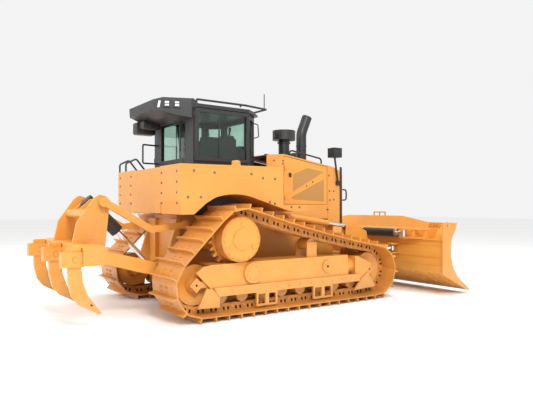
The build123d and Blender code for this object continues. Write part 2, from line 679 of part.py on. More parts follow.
# Outlines of the two grilles; the strip between them is the rib
grille_outlines = [
    [(518, 1827), (1225, 2195), (843, 2252), (518, 2131)],
    [(489, 1697), (1225, 1657), (1225, 2065), (489, 1734)],
]
for name, side in SIDES:
    with BuildPart() as engine_door:
        leaf = [
            (door_rear, door_low), (door_front, door_low), (door_front, door_top_front),
            (door_rear, door_top_rear)
        ]
        prism(side_view(side * (hood_half - DOOR_PANEL / 2)), leaf, DOOR_PANEL / 2, both=True)
        for outline in grille_outlines:
            prism(side_view(side * hood_half), outline, GRILLE_RECESS, both=True, mode=Mode.SUBTRACT)
            with BuildSketch(side_view(side * (hood_half - GRILLE_RECESS / 2))) as ribs:
                with Locations((857, 1950)):
                    with GridLocations(GRILLE_RIB_PITCH, 1, 16, 1):
                        Rectangle(GRILLE_RIB, 700)
                with BuildLine():
                    Polyline(*outline, close=True)
                make_face(mode=Mode.INTERSECT)
            extrude(ribs.sketch, amount=GRILLE_RECESS / 2, both=True)
        for hinge_z in (DOOR_BOTTOM + 90, 2200):
            low, high = (
                ENGINE_HINGE_X, side * (hood_half - 2), hinge_z
            ), (ENGINE_HINGE_X + 30, side * (ENGINE_HINGE_Y + 4), hinge_z + 60)
            block(low, high)
            disc(plan_view(hinge_z), (ENGINE_HINGE_X, side * ENGINE_HINGE_Y), ENGINE_HINGE_RADIUS, 60)
    save(engine_door, f"engine_door_{name}")

with BuildPart() as radiator_guard:
    guard_profile = [
        (GUARD_REAR_X, GUARD_BOTTOM),
        (GUARD_REAR_X, HOOD_FRONT_Z),
        (GUARD_FRONT_X - 220, HOOD_FRONT_Z - 25),
        (GUARD_FRONT_X - 60, HOOD_FRONT_Z - 90),
        (GUARD_FRONT_X, HOOD_FRONT_Z - 170),
        (GUARD_FRONT_X, GUARD_BOTTOM),
    ]
    prism(side_view(), guard_profile, GUARD_WIDTH / 2, both=True)
    grille_half = GUARD_WIDTH / 2 - 90
    grille_low = GUARD_BOTTOM + 90
    grille_high = HOOD_FRONT_Z - 230
    block(
        (GUARD_REAR_X + 90, -grille_half, grille_low), (GUARD_FRONT_X + 1, grille_half, grille_high),
        mode=Mode.SUBTRACT
    )
save(radiator_guard, "radiator_guard")

GRILLE_DEPTH = 30
GRILLE_SLOTS = 14
with BuildPart() as grille:
    block(
        (GUARD_FRONT_X - 60, -grille_half, grille_low),
        (GUARD_FRONT_X - 60 + GRILLE_DEPTH, grille_half, grille_high)
    )
    slot_height = (grille_high - grille_low) / (2 * GRILLE_SLOTS + 1)
    for index in range(GRILLE_SLOTS):
        low = grille_low + slot_height * (2 * index + 1)
        block(
            (GUARD_FRONT_X - 61, 30 - grille_half, low),
            (GUARD_FRONT_X, grille_half - 30, low + slot_height), mode=Mode.SUBTRACT
        )
save(grille, "grille")

# Exhaust stack: an upright pipe whose top leans forward
STACK_X = 1150
STACK_RADIUS = 95
with BuildPart() as exhaust_stack:
    foot = hood_line(STACK_X - STACK_RADIUS) + 3
    points = [(STACK_X, 0, foot), (STACK_X, 0, 2950), (STACK_X + 140, 0, 3270)]
    bent_tube(points, 330, STACK_RADIUS)
save(exhaust_stack, "exhaust_stack")

PRECLEANER_X = 590
PRECLEANER_Y = -200
with BuildPart() as precleaner:
    floor = hood_line(PRECLEANER_X - 100) + 4
    disc(plan_view(floor), (PRECLEANER_X, PRECLEANER_Y), 98, 2780 - floor)
    disc(plan_view(2760), (PRECLEANER_X, PRECLEANER_Y), 205, 170)
save(precleaner, "precleaner")


# ---- cab ------------------------------------------------------------------------------------
cab_half = CAB_WIDTH / 2 - CAB_DOOR_THICKNESS
CAB_WALL = 60
CAB_CORNER_X = -520  # the side walls turn in here
CAB_FRONT_HALF = 470
TUB_BOTTOM = 1440
SILL_Z = 2300
HEADER_Z = 3010


def cab_plan(inset):
    """Outline of the cab in plan, moved inwards by inset."""
    slant = inset * tan(radians(25))
    return [
        (CAB_REAR_X + inset, -cab_half + inset),
        (CAB_CORNER_X - slant, -cab_half + inset),
        (CAB_FRONT_X - inset, -CAB_FRONT_HALF + slant),
        (CAB_FRONT_X - inset, CAB_FRONT_HALF - slant),
        (CAB_CORNER_X - slant, cab_half - inset),
        (CAB_REAR_X + inset, cab_half - inset),
    ]


with BuildPart() as cab_frame:
    prism(plan_view(CAB_FLOOR_Z), cab_plan(0), CAB_EAVE_Z - CAB_FLOOR_Z)
    prism(plan_view(CAB_FLOOR_Z + CAB_WALL), cab_plan(CAB_WALL), CAB_EAVE_Z, mode=Mode.SUBTRACT)
    tub_profile = [(CAB_REAR_X, TUB_BOTTOM), (CAB_REAR_X, CAB_FLOOR_Z), (-60, CAB_FLOOR_Z), (-60, TUB_BOTTOM)]
    prism(side_view(), tub_profile, FENDER_INNER_Y - 2, both=True)
    side_hole_low = (CAB_REAR_X + 60, -CAB_WIDTH, SILL_Z)
    side_hole_high = (CAB_CORNER_X - 40, CAB_WIDTH, HEADER_Z)
    block(side_hole_low, side_hole_high, mode=Mode.SUBTRACT)
    block((CAB_REAR_X - 1, -450, SILL_Z + 20), (CAB_REAR_X + CAB_WALL + 1, 450, 2880), mode=Mode.SUBTRACT)
    block((CAB_FRONT_X - CAB_WALL - 1, -390, SILL_Z + 40), (CAB_FRONT_X + 1, 390, 2990), mode=Mode.SUBTRACT)
    wall_run = Vector(CAB_FRONT_X - CAB_CORNER_X, CAB_FRONT_HALF - cab_half)
    for side in (-1, 1):
        middle = (
            (CAB_CORNER_X + CAB_FRONT_X) / 2, side * (cab_half + CAB_FRONT_HALF) / 2, (SILL_Z + 2990) / 2
        )
        pane = Plane(
            origin=middle, x_dir=(wall_run.X, side * wall_run.Y, 0), z_dir=(-wall_run.Y, side * wall_run.X, 0)
        )
        with BuildSketch(pane):
            Rectangle(wall_run.length - 150, 2990 - SILL_Z - 40)
        extrude(amount=2 * CAB_WALL, both=True, mode=Mode.SUBTRACT)
save(cab_frame, "cab_frame")

ROOF_REAR_X = -2020
with BuildPart() as cab_roof:
    roof_profile = [
        (CAB_REAR_X - 8, 2900),
        (-1750, 2940),
        (ROOF_REAR_X, 3010),
        (ROOF_REAR_X - 10, 3150),
        (-1900, 3190),
        (CAB_REAR_X, 3190),
        (CAB_REAR_X + 60, 3115),
        (-330, 3115),
        (-180, CAB_EAVE_Z + 20),
        (-180, CAB_EAVE_Z),
        (CAB_REAR_X - 8, CAB_EAVE_Z),
    ]
    prism(side_view(), roof_profile, CAB_WIDTH / 2, both=True)
    for side in (-1, 1):
        rear_corner = [
            (CAB_REAR_X + 40, side * 761), (CAB_REAR_X - 20, side * 700),
            (ROOF_REAR_X - 11, side * 490), (ROOF_REAR_X - 11, side * 761)
        ]
        front_corner = [(CAB_CORNER_X, side * 761), (-179, side * 500), (-179, side * 761)]
        prism(plan_view(2800), rear_corner, 500, mode=Mode.SUBTRACT)
        prism(plan_view(2800), front_corner, 500, mode=Mode.SUBTRACT)
save(cab_roof, "cab_roof")

# Doors hinge at their rear edge and lie on the outside of the side walls
HINGE_X = CAB_REAR_X + 8
HINGE_GAP = 4
door_y = cab_half + HINGE_GAP + CAB_DOOR_THICKNESS / 2
door_rear_x = HINGE_X + 6
door_front_x = CAB_CORNER_X + 5
DOOR_RAIL = 60
KNUCKLE_RADIUS = 12
KNUCKLE_LENGTH = 70
for name, side in SIDES:
    with BuildPart() as cab_door:
        low = (door_rear_x, side * (door_y - CAB_DOOR_THICKNESS / 2), SILL_Z - 40)
        high = (door_front_x, side * (door_y + CAB_DOOR_THICKNESS / 2), CAB_EAVE_Z - 12)
        block(low, high)
        hole_low = (door_rear_x + DOOR_RAIL, side * (door_y - CAB_DOOR_THICKNESS), SILL_Z + 10)
        hole_high = (door_front_x - DOOR_RAIL, side * (door_y + CAB_DOOR_THICKNESS), HEADER_Z - 20)
        block(hole_low, hole_high, mode=Mode.SUBTRACT)
        for knuckle_z in (SILL_Z + 20, HEADER_Z - 80):
            disc(plan_view(knuckle_z), (HINGE_X, side * door_y), KNUCKLE_RADIUS, KNUCKLE_LENGTH)
    save(cab_door, f"cab_door_{name}")
    with BuildPart() as door_glass:
        low = (door_rear_x + DOOR_RAIL, side * (door_y - GLASS / 2), SILL_Z + 10)
        high = (door_front_x - DOOR_RAIL, side * (door_y + GLASS / 2), HEADER_Z - 20)
        block(low, high)
    save(door_glass, f"door_glass_{name}")

with BuildPart() as cab_glass:
    block((CAB_REAR_X + 26, -450, SILL_Z + 20), (CAB_REAR_X + 26 + GLASS, 450, 2880))
    block((CAB_FRONT_X - 34, -390, SILL_Z + 40), (CAB_FRONT_X - 34 + GLASS, 390, 2990))
    for side in (-1, 1):
        middle = (
            (CAB_CORNER_X + CAB_FRONT_X) / 2, side * (cab_half + CAB_FRONT_HALF) / 2, (SILL_Z + 2990) / 2
        )
        pane = Plane(
            origin=middle, x_dir=(wall_run.X, side * wall_run.Y, 0), z_dir=(-wall_run.Y, side * wall_run.X, 0)
        )
        with BuildSketch(pane.offset(-CAB_WALL / 2)) as sheet:
            Rectangle(wall_run.length - 150, 2990 - SILL_Z - 40)
        extrude(sheet.sketch, amount=GLASS / 2, both=True)
save(cab_glass, "cab_glass")

SEAT_X = -960
cab_floor = CAB_FLOOR_Z + CAB_WALL
with BuildPart() as seat_base:
    block((SEAT_X - 220, -200, cab_floor), (SEAT_X + 240, 200, cab_floor + 260))
    for side in (-1, 1):
        block((SEAT_X - 200, side * 300, cab_floor), (SEAT_X + 380, side * 460, cab_floor + 420))
save(seat_base, "seat_base")

with BuildPart() as seat_cushion:
    block((SEAT_X - 200, -250, cab_floor + 262), (SEAT_X + 270, 250, cab_floor + 380))
    back = [
        (SEAT_X - 205, cab_floor + 262), (SEAT_X - 330, cab_floor + 300), (SEAT_X - 400, 3010),
        (SEAT_X - 280, 3010)
    ]
    prism(side_view(), back, 240, both=True)
save(seat_cushion, "seat_cushion")

with BuildPart() as dash:
    block((-420, -300, cab_floor), (-310, 300, cab_floor + 330))
save(dash, "dash")


# ---- blade and its push frame ---------------------------------------------------------------
ARM_LOW = 430
CROSS_REAR_X = 1840
CROSS_FRONT_X = 2100
CROSS_TOP = 685
UPRIGHT = 17  # thickness of the plates that hold the lift cylinders' eyes
UPRIGHT_GAP = 80
NOSE_X = 2330
LUG_RADIUS = 110
YAW_PIN_RADIUS = 45
lug_heights = [(ARM_LOW, 500), (780, 850)]
ANGLE_PIN = (2000, 420, 780)
ANGLE_EYE = (2620, 930, 780)
ANGLE_RADIUS = 62
ANGLE_FORK = 75  # half of the gap between the blade's plates at the angle cylinders' eyes
ANGLE_EYE_RADIUS = 45
GIMBAL_HALF_LENGTH = 45
GIMBAL_IN = 71  # half of the window that the barrel tips in
GIMBAL_WALL = 17
GIMBAL_STUB = 116
POST_OUT = 54  # the gimbal posts rise into the radiator guard's opening, so they stay inside its walls
upright_profile = [
    (1560, 600),
    (1636, 1230),
    (1660, 1262),
    (1735, 1270),
    (1800, 1262),
    (2150, 1108),
    (2190, 930),
    (2020, 880),
    (2010, 600),
]
with BuildPart() as c_frame:
    block((CROSS_REAR_X, -ARM_Y, ARM_LOW), (CROSS_FRONT_X, ARM_Y, CROSS_TOP))
    nose = [(CROSS_FRONT_X - 10, -560), (NOSE_X, -170), (NOSE_X, 170), (CROSS_FRONT_X - 10, 560)]
    prism(plan_view(ARM_LOW), nose, CROSS_TOP - ARM_LOW)
    block((CROSS_FRONT_X - 10, -170, ARM_LOW), (NOSE_X, 170, lug_heights[1][1]))
    for low, high in lug_heights:
        block((NOSE_X - 10, -LUG_RADIUS, low), (BLADE_PIVOT_X, LUG_RADIUS, high))
        disc(plan_view(low), (BLADE_PIVOT_X, 0), LUG_RADIUS, high - low)
        disc(
            plan_view(low - 1), (BLADE_PIVOT_X, 0), YAW_PIN_RADIUS + BORE_GAP, high - low + 2,
            mode=Mode.SUBTRACT
        )
    for side in (-1, 1):
        arm = [
            (LIFT_PIVOT_X, ARM_LOW), (LIFT_PIVOT_X, 610), (1560, 620), (1730, 622), (1880, CROSS_TOP),
            (2100, CROSS_TOP), (2100, ARM_LOW)
        ]
        prism(side_view(side * ARM_Y), arm, ARM_THICKNESS / 2, both=True)
        disc(
            side_view(side * ARM_Y), (LIFT_PIVOT_X, LIFT_PIVOT_Z), LIFT_BOSS_RADIUS, ARM_THICKNESS / 2,
            both=True
        )
        pivot_ends = [(LIFT_PIVOT_X, side * y, LIFT_PIVOT_Z) for y in (ARM_Y, HULL_WIDTH / 2 + 10)]
        bar(*pivot_ends, LIFT_PIN_RADIUS)
        plate_out = LIFT_CYLINDER_Y + UPRIGHT_GAP / 2
        block((1560, side * ARM_Y, 500), (2010, side * (plate_out + UPRIGHT), 615))
        for plate_y in (LIFT_CYLINDER_Y - UPRIGHT_GAP / 2 - UPRIGHT / 2, plate_out + UPRIGHT / 2):
            prism(side_view(side * plate_y), upright_profile, UPRIGHT / 2, both=True)
        for face_y in (plate_out - UPRIGHT_GAP - UPRIGHT, plate_out + UPRIGHT):
            head = [(LIFT_EYE_X, side * (face_y + y), LIFT_EYE_Z) for y in (-7, 7)]
            bar(*head, PIN_RADIUS + 10)
        pin_x, pin_y, pin_z = ANGLE_PIN
        fork_top = pin_z + GIMBAL_STUB + 4
        post_low = (pin_x - 160, side * (pin_y - 75), CROSS_TOP - 5)
        block(post_low, (pin_x - 132, side * (pin_y + POST_OUT), fork_top))
        block((pin_x - 134, side * (pin_y - 60), fork_top - 26), (pin_x, side * (pin_y + POST_OUT), fork_top))
        disc(plan_view(fork_top - 26), (pin_x, side * pin_y), 60, 26)
        for low in (pin_z - GIMBAL_STUB - 5, fork_top - 30):
            disc(plan_view(low), (pin_x, side * pin_y), PIN_RADIUS + BORE_GAP, 40, mode=Mode.SUBTRACT)
save(c_frame, "push_frame")

YOKE_RADIUS = 85
YOKE_FRONT_X = 2672
TRUNNION_RADIUS = 70
POST_REAR_X = 2600
POST_THICKNESS = 50
TILT_PIN = (POST_REAR_X + POST_THICKNESS / 2, -120, 1075)
TILT_EYE_Y = -1200
post_profile = [(-110, 740), (110, 740), (110, 960), (0, 1147), (-120, 1147), (-120, 1003)]
with BuildPart() as blade_yoke:
    disc(plan_view(506), (BLADE_PIVOT_X, 0), YOKE_RADIUS, 268)
    block((BLADE_PIVOT_X, -95, 520), (YOKE_FRONT_X, 95, 760))
    prism(front_view(POST_REAR_X), post_profile, POST_THICKNESS)
    disc(front_view(POST_REAR_X), TILT_PIN[1:], 72, POST_THICKNESS)
    for foot, head in ((ARM_LOW, 520), (760, 848)):
        bar((BLADE_PIVOT_X, 0, foot), (BLADE_PIVOT_X, 0, head), YAW_PIN_RADIUS)
    bar((YOKE_FRONT_X - 5, 0, BLADE_TILT_Z), (BLADE_BACK_X - 5, 0, BLADE_TILT_Z), TRUNNION_RADIUS)
    disc(
        front_view(POST_REAR_X - 1), TILT_PIN[1:], PIN_RADIUS + BORE_GAP, POST_THICKNESS + 2,
        mode=Mode.SUBTRACT
    )
save(blade_yoke, "blade_yoke")

# Blade section, X and Z: the mouldboard curves through the three points of its arc
MOULD_LOW = (3086, 322)
MOULD_DEEP = (2889, 766)
MOULD_HIGH = (3045, 1169)
MOULD_LIP = (3130, BLADE_TOP_Z)
MOULD_THICKNESS = 26
BOX_LOW = 391
BOX_HIGH = 1000
CORNER_Z = 1276  # the blade's top slopes down to this at its corners
CORNER_IN_Y = 750
CORNER_OUT_Y = 1430
END_PLATE = 25
SOCKET_RADIUS = 125
end_plate_profile = [
    (2677, 1282),
    (2817, 1294),
    (3045, 1169),
    (2930, 1010),
    (2899, 875),
    (2900, 680),
    (2960, 500),
    (3086, 322),
    (3447, 66),
    (3390, BLADE_GROUND_GAP),
    (3213, 125),
    (2671, 386),
]
box_profile = [
    (BLADE_BACK_X, BOX_LOW),
    (BLADE_BACK_X, BOX_HIGH),
    (2920, BOX_HIGH),
    (2875, 880),
    (2870, 680),
    (2930, 500),
    (3060, 322),
    (3060, 300),
    (3200, 192),
    (3200, 132),
]
# Raised panels and ribs on the back: inner Y, outer Y, low Z, high Z, relief
back_table = [
    (822, 2000, 668, 863, 12),
    (1047, 2000, BOX_LOW + 2, 521, 12),
    (822, 2000, 968, 984, 30),
    (1050, 1591, 1123, 1149, 30),
]
# Gussets under the box: Y, front lower corner in X and Z
gusset_table = [(1343, (2990, 200)), (1643, (2990, 200)), (1876, (3190, 108))]
CORNER_GUSSET_YS = (1500, 1570, 1640, 1710)
corner_gusset = [(3062, 1272), (2985, 1272), (2985, 1205), (3015, 1180), (3030, 1180)]
LIFTING_EYE = (2789, 1228)
LIFTING_EYE_RADIUS = 30
MAST_LEFT_Y = 13
MAST_RIGHT_Y = -312
MAST_TOP_Z = 1466
MAST_BAR = 22
with BuildPart() as blade:
    with BuildSketch(side_view()) as mould:
        with BuildLine():
            ThreePointArc(MOULD_LOW, MOULD_DEEP, MOULD_HIGH)
            Line(MOULD_HIGH, MOULD_LIP)
            Line(MOULD_LIP, (MOULD_LIP[0] - MOULD_THICKNESS, MOULD_LIP[1]))
            Line((MOULD_LIP[0] - MOULD_THICKNESS, MOULD_LIP[1]), (MOULD_HIGH[0] - 30, MOULD_HIGH[1]))
            ThreePointArc(
                (MOULD_HIGH[0] - 30, MOULD_HIGH[1]), (MOULD_DEEP[0] - 30, MOULD_DEEP[1]), (3050, 322)
            )
            Line((3050, 322), MOULD_LOW)
        make_face()
    extrude(mould.sketch, amount=BLADE_WIDTH / 2 - 5, both=True)
    prism(side_view(), box_profile, BLADE_WIDTH / 2 - 5, both=True)
    for side in (-1, 1):
        corner = [
            (side * CORNER_IN_Y, BLADE_TOP_Z + 1), (side * CORNER_OUT_Y, CORNER_Z),
            (side * 2031, CORNER_Z), (side * 2031, BLADE_TOP_Z + 1)
        ]
        prism(front_view(2600), corner, 600, mode=Mode.SUBTRACT)
        end_plate = side_view(side * (BLADE_WIDTH - END_PLATE) / 2)
        prism(end_plate, end_plate_profile, END_PLATE / 2, both=True)
        disc(end_plate, LIFTING_EYE, LIFTING_EYE_RADIUS, END_PLATE, both=True, mode=Mode.SUBTRACT)
        for inner_y, outer_y, low_z, high_z, relief in back_table:
            rear_x = 3000 - relief if low_z > BOX_HIGH else BLADE_BACK_X - relief
            front_x = 3030 if low_z > BOX_HIGH else BLADE_BACK_X + 5
            block((rear_x, side * inner_y, low_z), (front_x, side * outer_y, high_z))
        for gusset_y, corner_point in gusset_table:
            gusset = [
                (BLADE_BACK_X - 10, 425), (BLADE_BACK_X - 10, 370), corner_point, (3190, 180), (3050, 300)
            ]
            prism(side_view(side * gusset_y), gusset, 10, both=True)
        for gusset_y in CORNER_GUSSET_YS:
            prism(side_view(side * gusset_y), corner_gusset, 8, both=True)
        eye_x, eye_y, eye_z = ANGLE_EYE
        for low, head in ((eye_z - ANGLE_FORK - 20, -8), (eye_z + ANGLE_FORK, 18)):
            block((eye_x, side * (eye_y - 90), low), (BLADE_BACK_X + 5, side * (eye_y + 90), low + 20))
            disc(plan_view(low), (eye_x, side * eye_y), 90, 20)
            disc(plan_view(low + head), (eye_x, side * eye_y), PIN_RADIUS + 8, 10)
    disc(front_view(2685), (0, BLADE_TILT_Z), SOCKET_RADIUS, BLADE_BACK_X + 5 - 2685)
    disc(
        front_view(2684), (0, BLADE_TILT_Z), TRUNNION_RADIUS + BORE_GAP, BLADE_BACK_X - 2684,
        mode=Mode.SUBTRACT
    )
    shelf = [
        (BLADE_BACK_X + 5, -1110), (2560, -1140), (2560, -1260), (2680, -1560), (BLADE_BACK_X + 5, -1690)
    ]
    for low, head in ((985, -8), (1147, 16)):
        prism(plan_view(low), shelf, 18)
        disc(plan_view(low + head), (TILT_PIN[0], TILT_EYE_Y), PIN_RADIUS + 12, 10)
    shelf_gusset = [(BLADE_BACK_X - 5, 985), (BLADE_BACK_X - 5, 1165), (2990, 1165), (2900, 985)]
    for gusset_y in (-1130, -1400, -1660):
        prism(side_view(gusset_y), shelf_gusset, 10, both=True)
    mast_low, mast_high = (3106, MAST_RIGHT_Y, BLADE_TOP_Z - 5), (3126, MAST_LEFT_Y, MAST_TOP_Z)
    block(mast_low, mast_high)
    window = (MAST_LEFT_Y - MAST_RIGHT_Y - 3 * MAST_BAR) / 2
    for index in range(2):
        window_y = MAST_RIGHT_Y + MAST_BAR + index * (window + MAST_BAR)
        block(
            (3100, window_y, BLADE_TOP_Z), (3130, window_y + window, MAST_TOP_Z - MAST_BAR),
            mode=Mode.SUBTRACT
        )
save(blade, "blade")

with BuildPart() as cutting_edge:
    edge = [(3088, 320), (3447, 66), (3436, BLADE_GROUND_GAP), (3413, BLADE_GROUND_GAP), (3071, 296)]
    prism(side_view(), edge, BLADE_WIDTH / 2 - END_PLATE - 2, both=True)
save(cutting_edge, "cutting_edge")

for name, side in SIDES:
    barrel_pin = (BARREL_PIN_X, side * LIFT_CYLINDER_Y, BARREL_PIN_Z)
    rod_eye = (LIFT_EYE_X, side * LIFT_CYLINDER_Y, LIFT_EYE_Z)
    names = (f"lift_cylinder_{name}", f"lift_rod_{name}")
    cylinder(names, barrel_pin, rod_eye, (0, 1, 0), (LIFT_CYLINDER_RADIUS, 40, 900), (ROD_RADIUS, 690), 36)
    barrel_pin = (ANGLE_PIN[0], side * ANGLE_PIN[1], ANGLE_PIN[2])
    rod_eye = (ANGLE_EYE[0], side * ANGLE_EYE[1], ANGLE_EYE[2])
    names = (f"angle_cylinder_{name}", f"angle_rod_{name}")
    stub_reach = GIMBAL_IN + GIMBAL_WALL + 4
    sizes = (ANGLE_RADIUS, -90, 455), (ROD_RADIUS, 620), 42, ANGLE_EYE_RADIUS, stub_reach
    cylinder(names, barrel_pin, rod_eye, (0, 0, 1), *sizes)
    with BuildPart() as gimbal:
        pin_x, pin_y, pin_z = barrel_pin
        along = (Vector(*rod_eye) - Vector(*barrel_pin)).normalized()
        level = along.cross(Vector(0, 0, 1)).normalized()
        ring = Plane(origin=barrel_pin, x_dir=level, z_dir=along)
        with BuildSketch(ring) as window:
            Rectangle(2 * (GIMBAL_IN + GIMBAL_WALL), 2 * (GIMBAL_IN + GIMBAL_WALL - 3))
            Rectangle(2 * GIMBAL_IN, 2 * GIMBAL_IN, mode=Mode.SUBTRACT)
        extrude(window.sketch, amount=GIMBAL_HALF_LENGTH, both=True)
        for up in (-1, 1):
            bar(
                (pin_x, pin_y, pin_z + up * (GIMBAL_IN + 1)), (pin_x, pin_y, pin_z + up * GIMBAL_STUB),
                PIN_RADIUS
            )
        centre = Vector(*barrel_pin)
        bar(centre - level * 100, centre + level * 100, PIN_RADIUS + BORE_GAP, Mode.SUBTRACT)
    save(gimbal, f"angle_gimbal_{name}")

TILT_RADIUS = 78
TILT_ROD_RADIUS = 45
TILT_GLAND_Y = -1045
TILT_CHEEK = 20
with BuildPart() as tilt_cylinder:
    pin_x, pin_y, pin_z = TILT_PIN
    for cheek_x in (pin_x - 51, pin_x + 31):
        cheek = [
            (pin_y, pin_z - 55), (pin_y - 110, pin_z - 60), (pin_y - 110, pin_z + 60), (pin_y, pin_z + 55)
        ]
        prism(front_view(cheek_x), cheek, TILT_CHEEK)
        disc(front_view(cheek_x), (pin_y, pin_z), 55, TILT_CHEEK)
    bar((pin_x, pin_y - 90, pin_z), (pin_x, TILT_GLAND_Y, pin_z), TILT_RADIUS)
    bar((pin_x - 51, pin_y, pin_z), (pin_x + 51, pin_y, pin_z), PIN_RADIUS)
    bar((pin_x, pin_y - 150, pin_z), (pin_x, TILT_GLAND_Y - 1, pin_z), TILT_ROD_RADIUS + 1, Mode.SUBTRACT)
save(tilt_cylinder, "tilt_cylinder")
with BuildPart() as tilt_rod:
    bar((pin_x, TILT_EYE_Y + 330, pin_z), (pin_x, TILT_EYE_Y + PIN_RADIUS + 10, pin_z), TILT_ROD_RADIUS)
    bar((pin_x, TILT_EYE_Y, pin_z - 62), (pin_x, TILT_EYE_Y, pin_z + 62), EYE_RADIUS)
save(tilt_rod, "tilt_rod")


# ---- ripper ---------------------------------------------------------------------------------
lower_pin_rear = (LOWER_PIN_FRONT[0] - LINK_RUN, LOWER_PIN_FRONT[1] + LINK_RISE)
upper_pin_rear = (upper_pin_front[0] - LINK_RUN, upper_pin_front[1] + LINK_RISE)
CROSS_TUBE_RADIUS = 60
pin_in = lower_cheek_y + 2
with BuildPart() as ripper_lower_links:
    front_pin, rear_pin = Vector(*LOWER_PIN_FRONT), Vector(*lower_pin_rear)
    run = (rear_pin - front_pin).normalized()
    lift = Vector(-run.Y, run.X)
    spots = [(front_pin, 78), (front_pin + run * 500, 95), (rear_pin, 82)]
    outline = [at + lift * half for at, half in spots] + [at - lift * half for at, half in reversed(spots)]
    outline = [(at.X, at.Y) for at in outline]
    for side in (-1, 1):
        plane = side_view(side * LINK_Y)
        prism(plane, outline, LOWER_LINK_THICKNESS / 2, both=True)
        disc(plane, LOWER_PIN_FRONT, 78, LOWER_LINK_THICKNESS / 2, both=True)
        disc(plane, lower_pin_rear, 82, LOWER_LINK_THICKNESS / 2, both=True)
        bar(
            (LOWER_PIN_FRONT[0], side * pin_in, LOWER_PIN_FRONT[1]),
            (LOWER_PIN_FRONT[0], side * LINK_Y, LOWER_PIN_FRONT[1]), PIN_RADIUS
        )
        bar(
            (lower_pin_rear[0], side * pin_in, lower_pin_rear[1]),
            (lower_pin_rear[0], side * 716, lower_pin_rear[1]), PIN_RADIUS
        )
    tube_at = (front_pin + rear_pin) / 2
    bar((tube_at.X, -LINK_Y, tube_at.Y), (tube_at.X, LINK_Y, tube_at.Y), CROSS_TUBE_RADIUS)
save(ripper_lower_links, "ripper_lower_links")

UPPER_BEND = (-2103, 1238)
UPPER_HALF_DEPTH = 48
UPPER_END_RADIUS = 68
with BuildPart() as ripper_upper_links:
    for side in (-1, 1):
        plane = side_view(side * LINK_Y)
        for start, end in ((upper_pin_rear, UPPER_BEND), (UPPER_BEND, upper_pin_front)):
            start, end = Vector(*start), Vector(*end)
            across = (end - start).normalized().rotate(Axis.Z, 90) * UPPER_HALF_DEPTH
            strip = [(at.X, at.Y) for at in (start + across, end + across, end - across, start - across)]
            prism(plane, strip, UPPER_LINK_THICKNESS / 2, both=True)
        disc(plane, UPPER_BEND, UPPER_HALF_DEPTH, UPPER_LINK_THICKNESS / 2, both=True)
        for pin_x, pin_z in (upper_pin_front, upper_pin_rear):
            disc(plane, (pin_x, pin_z), UPPER_END_RADIUS, UPPER_LINK_THICKNESS / 2, both=True)
            bar((pin_x, side * pin_in, pin_z), (pin_x, side * LINK_Y, pin_z), PIN_RADIUS)
            bar((pin_x, side * 536, pin_z), (pin_x, side * LINK_Y, pin_z), 50)
save(ripper_upper_links, "ripper_upper_links")

TOWER_Y = 505
TOWER_THICKNESS = 50
BEAM_FRONT_X = -2890
BEAM_REAR_X = -3200
BEAM_BOTTOM = 817
RIPPER_TUBE = (-2960, 1470)
RIPPER_TRUNNION = (-2810, 1616)
RIPPER_BARREL_RADIUS = 100
RIPPER_LUG_Y = 126
POCKET_REAR_X = -3450
tower_profile = [
    (-3190, 830),
    (-3190, 1040),
    (-3125, 1355),
    (-2895, 1684),
    (-2820, 1735),
    (-2735, 1712),
    (-2690, 1560),
    (-2740, 1045),
    (-2770, 830),
]
beam_profile = [
    (BEAM_REAR_X, 840),
    (BEAM_REAR_X, 1050),
    (-3150, 1072),
    (-2950, 1072),
    (BEAM_FRONT_X, 1010),
    (BEAM_FRONT_X, 880),
    (-2950, BEAM_BOTTOM),
    (-3160, BEAM_BOTTOM),
]
shank_ys = (-SHANK_SPACING, 0, SHANK_SPACING)
POCKET_LOW = 810
POCKET_HIGH = 1000
SHANK_PIN = (-3288, 905)
SHANK_PIN_RADIUS = 30
with BuildPart() as ripper_frame:
    prism(side_view(), beam_profile, RIPPER_BEAM_WIDTH / 2, both=True)
    for side in (-1, 1):
        low = (-3088, side * 529, BEAM_BOTTOM - 1)
        block(low, (BEAM_FRONT_X + 1, side * 672, 1073), mode=Mode.SUBTRACT)
        prism(side_view(side * TOWER_Y), tower_profile, TOWER_THICKNESS / 2, both=True)
        lug = [(-3015, 1440), (-2930, 1415), (-2765, 1572), (-2852, 1662), (-3005, 1515)]
        prism(side_view(side * RIPPER_LUG_Y), lug, 20, both=True)
        disc(side_view(side * RIPPER_LUG_Y), RIPPER_TRUNNION, 63, 20, both=True)
        for pin, far_y in ((lower_pin_rear, 720), (upper_pin_rear, 540)):
            bar(
                (pin[0], side * 470, pin[1]), (pin[0], side * far_y, pin[1]), PIN_RADIUS + BORE_GAP,
                Mode.SUBTRACT
            )
        disc(
            side_view(side * RIPPER_LUG_Y), RIPPER_TRUNNION, PIN_RADIUS + BORE_GAP, 22, both=True,
            mode=Mode.SUBTRACT
        )
    bar(
        (RIPPER_TUBE[0], -TOWER_Y, RIPPER_TUBE[1]), (RIPPER_TUBE[0], TOWER_Y, RIPPER_TUBE[1]),
        CROSS_TUBE_RADIUS
    )
    for shank_y in shank_ys:
        reach = SHANK_THICKNESS / 2 + 28
        block((POCKET_REAR_X, shank_y - reach, POCKET_LOW), (BEAM_REAR_X + 20, shank_y + reach, POCKET_HIGH))
        reach = SHANK_THICKNESS / 2 + 3
        block(
            (-3378, shank_y - reach, POCKET_LOW - 1), (BEAM_REAR_X, shank_y + reach, POCKET_HIGH + 1),
            mode=Mode.SUBTRACT
        )
        disc(side_view(shank_y), SHANK_PIN, SHANK_PIN_RADIUS + BORE_GAP, 100, both=True, mode=Mode.SUBTRACT)
save(ripper_frame, "ripper_frame")

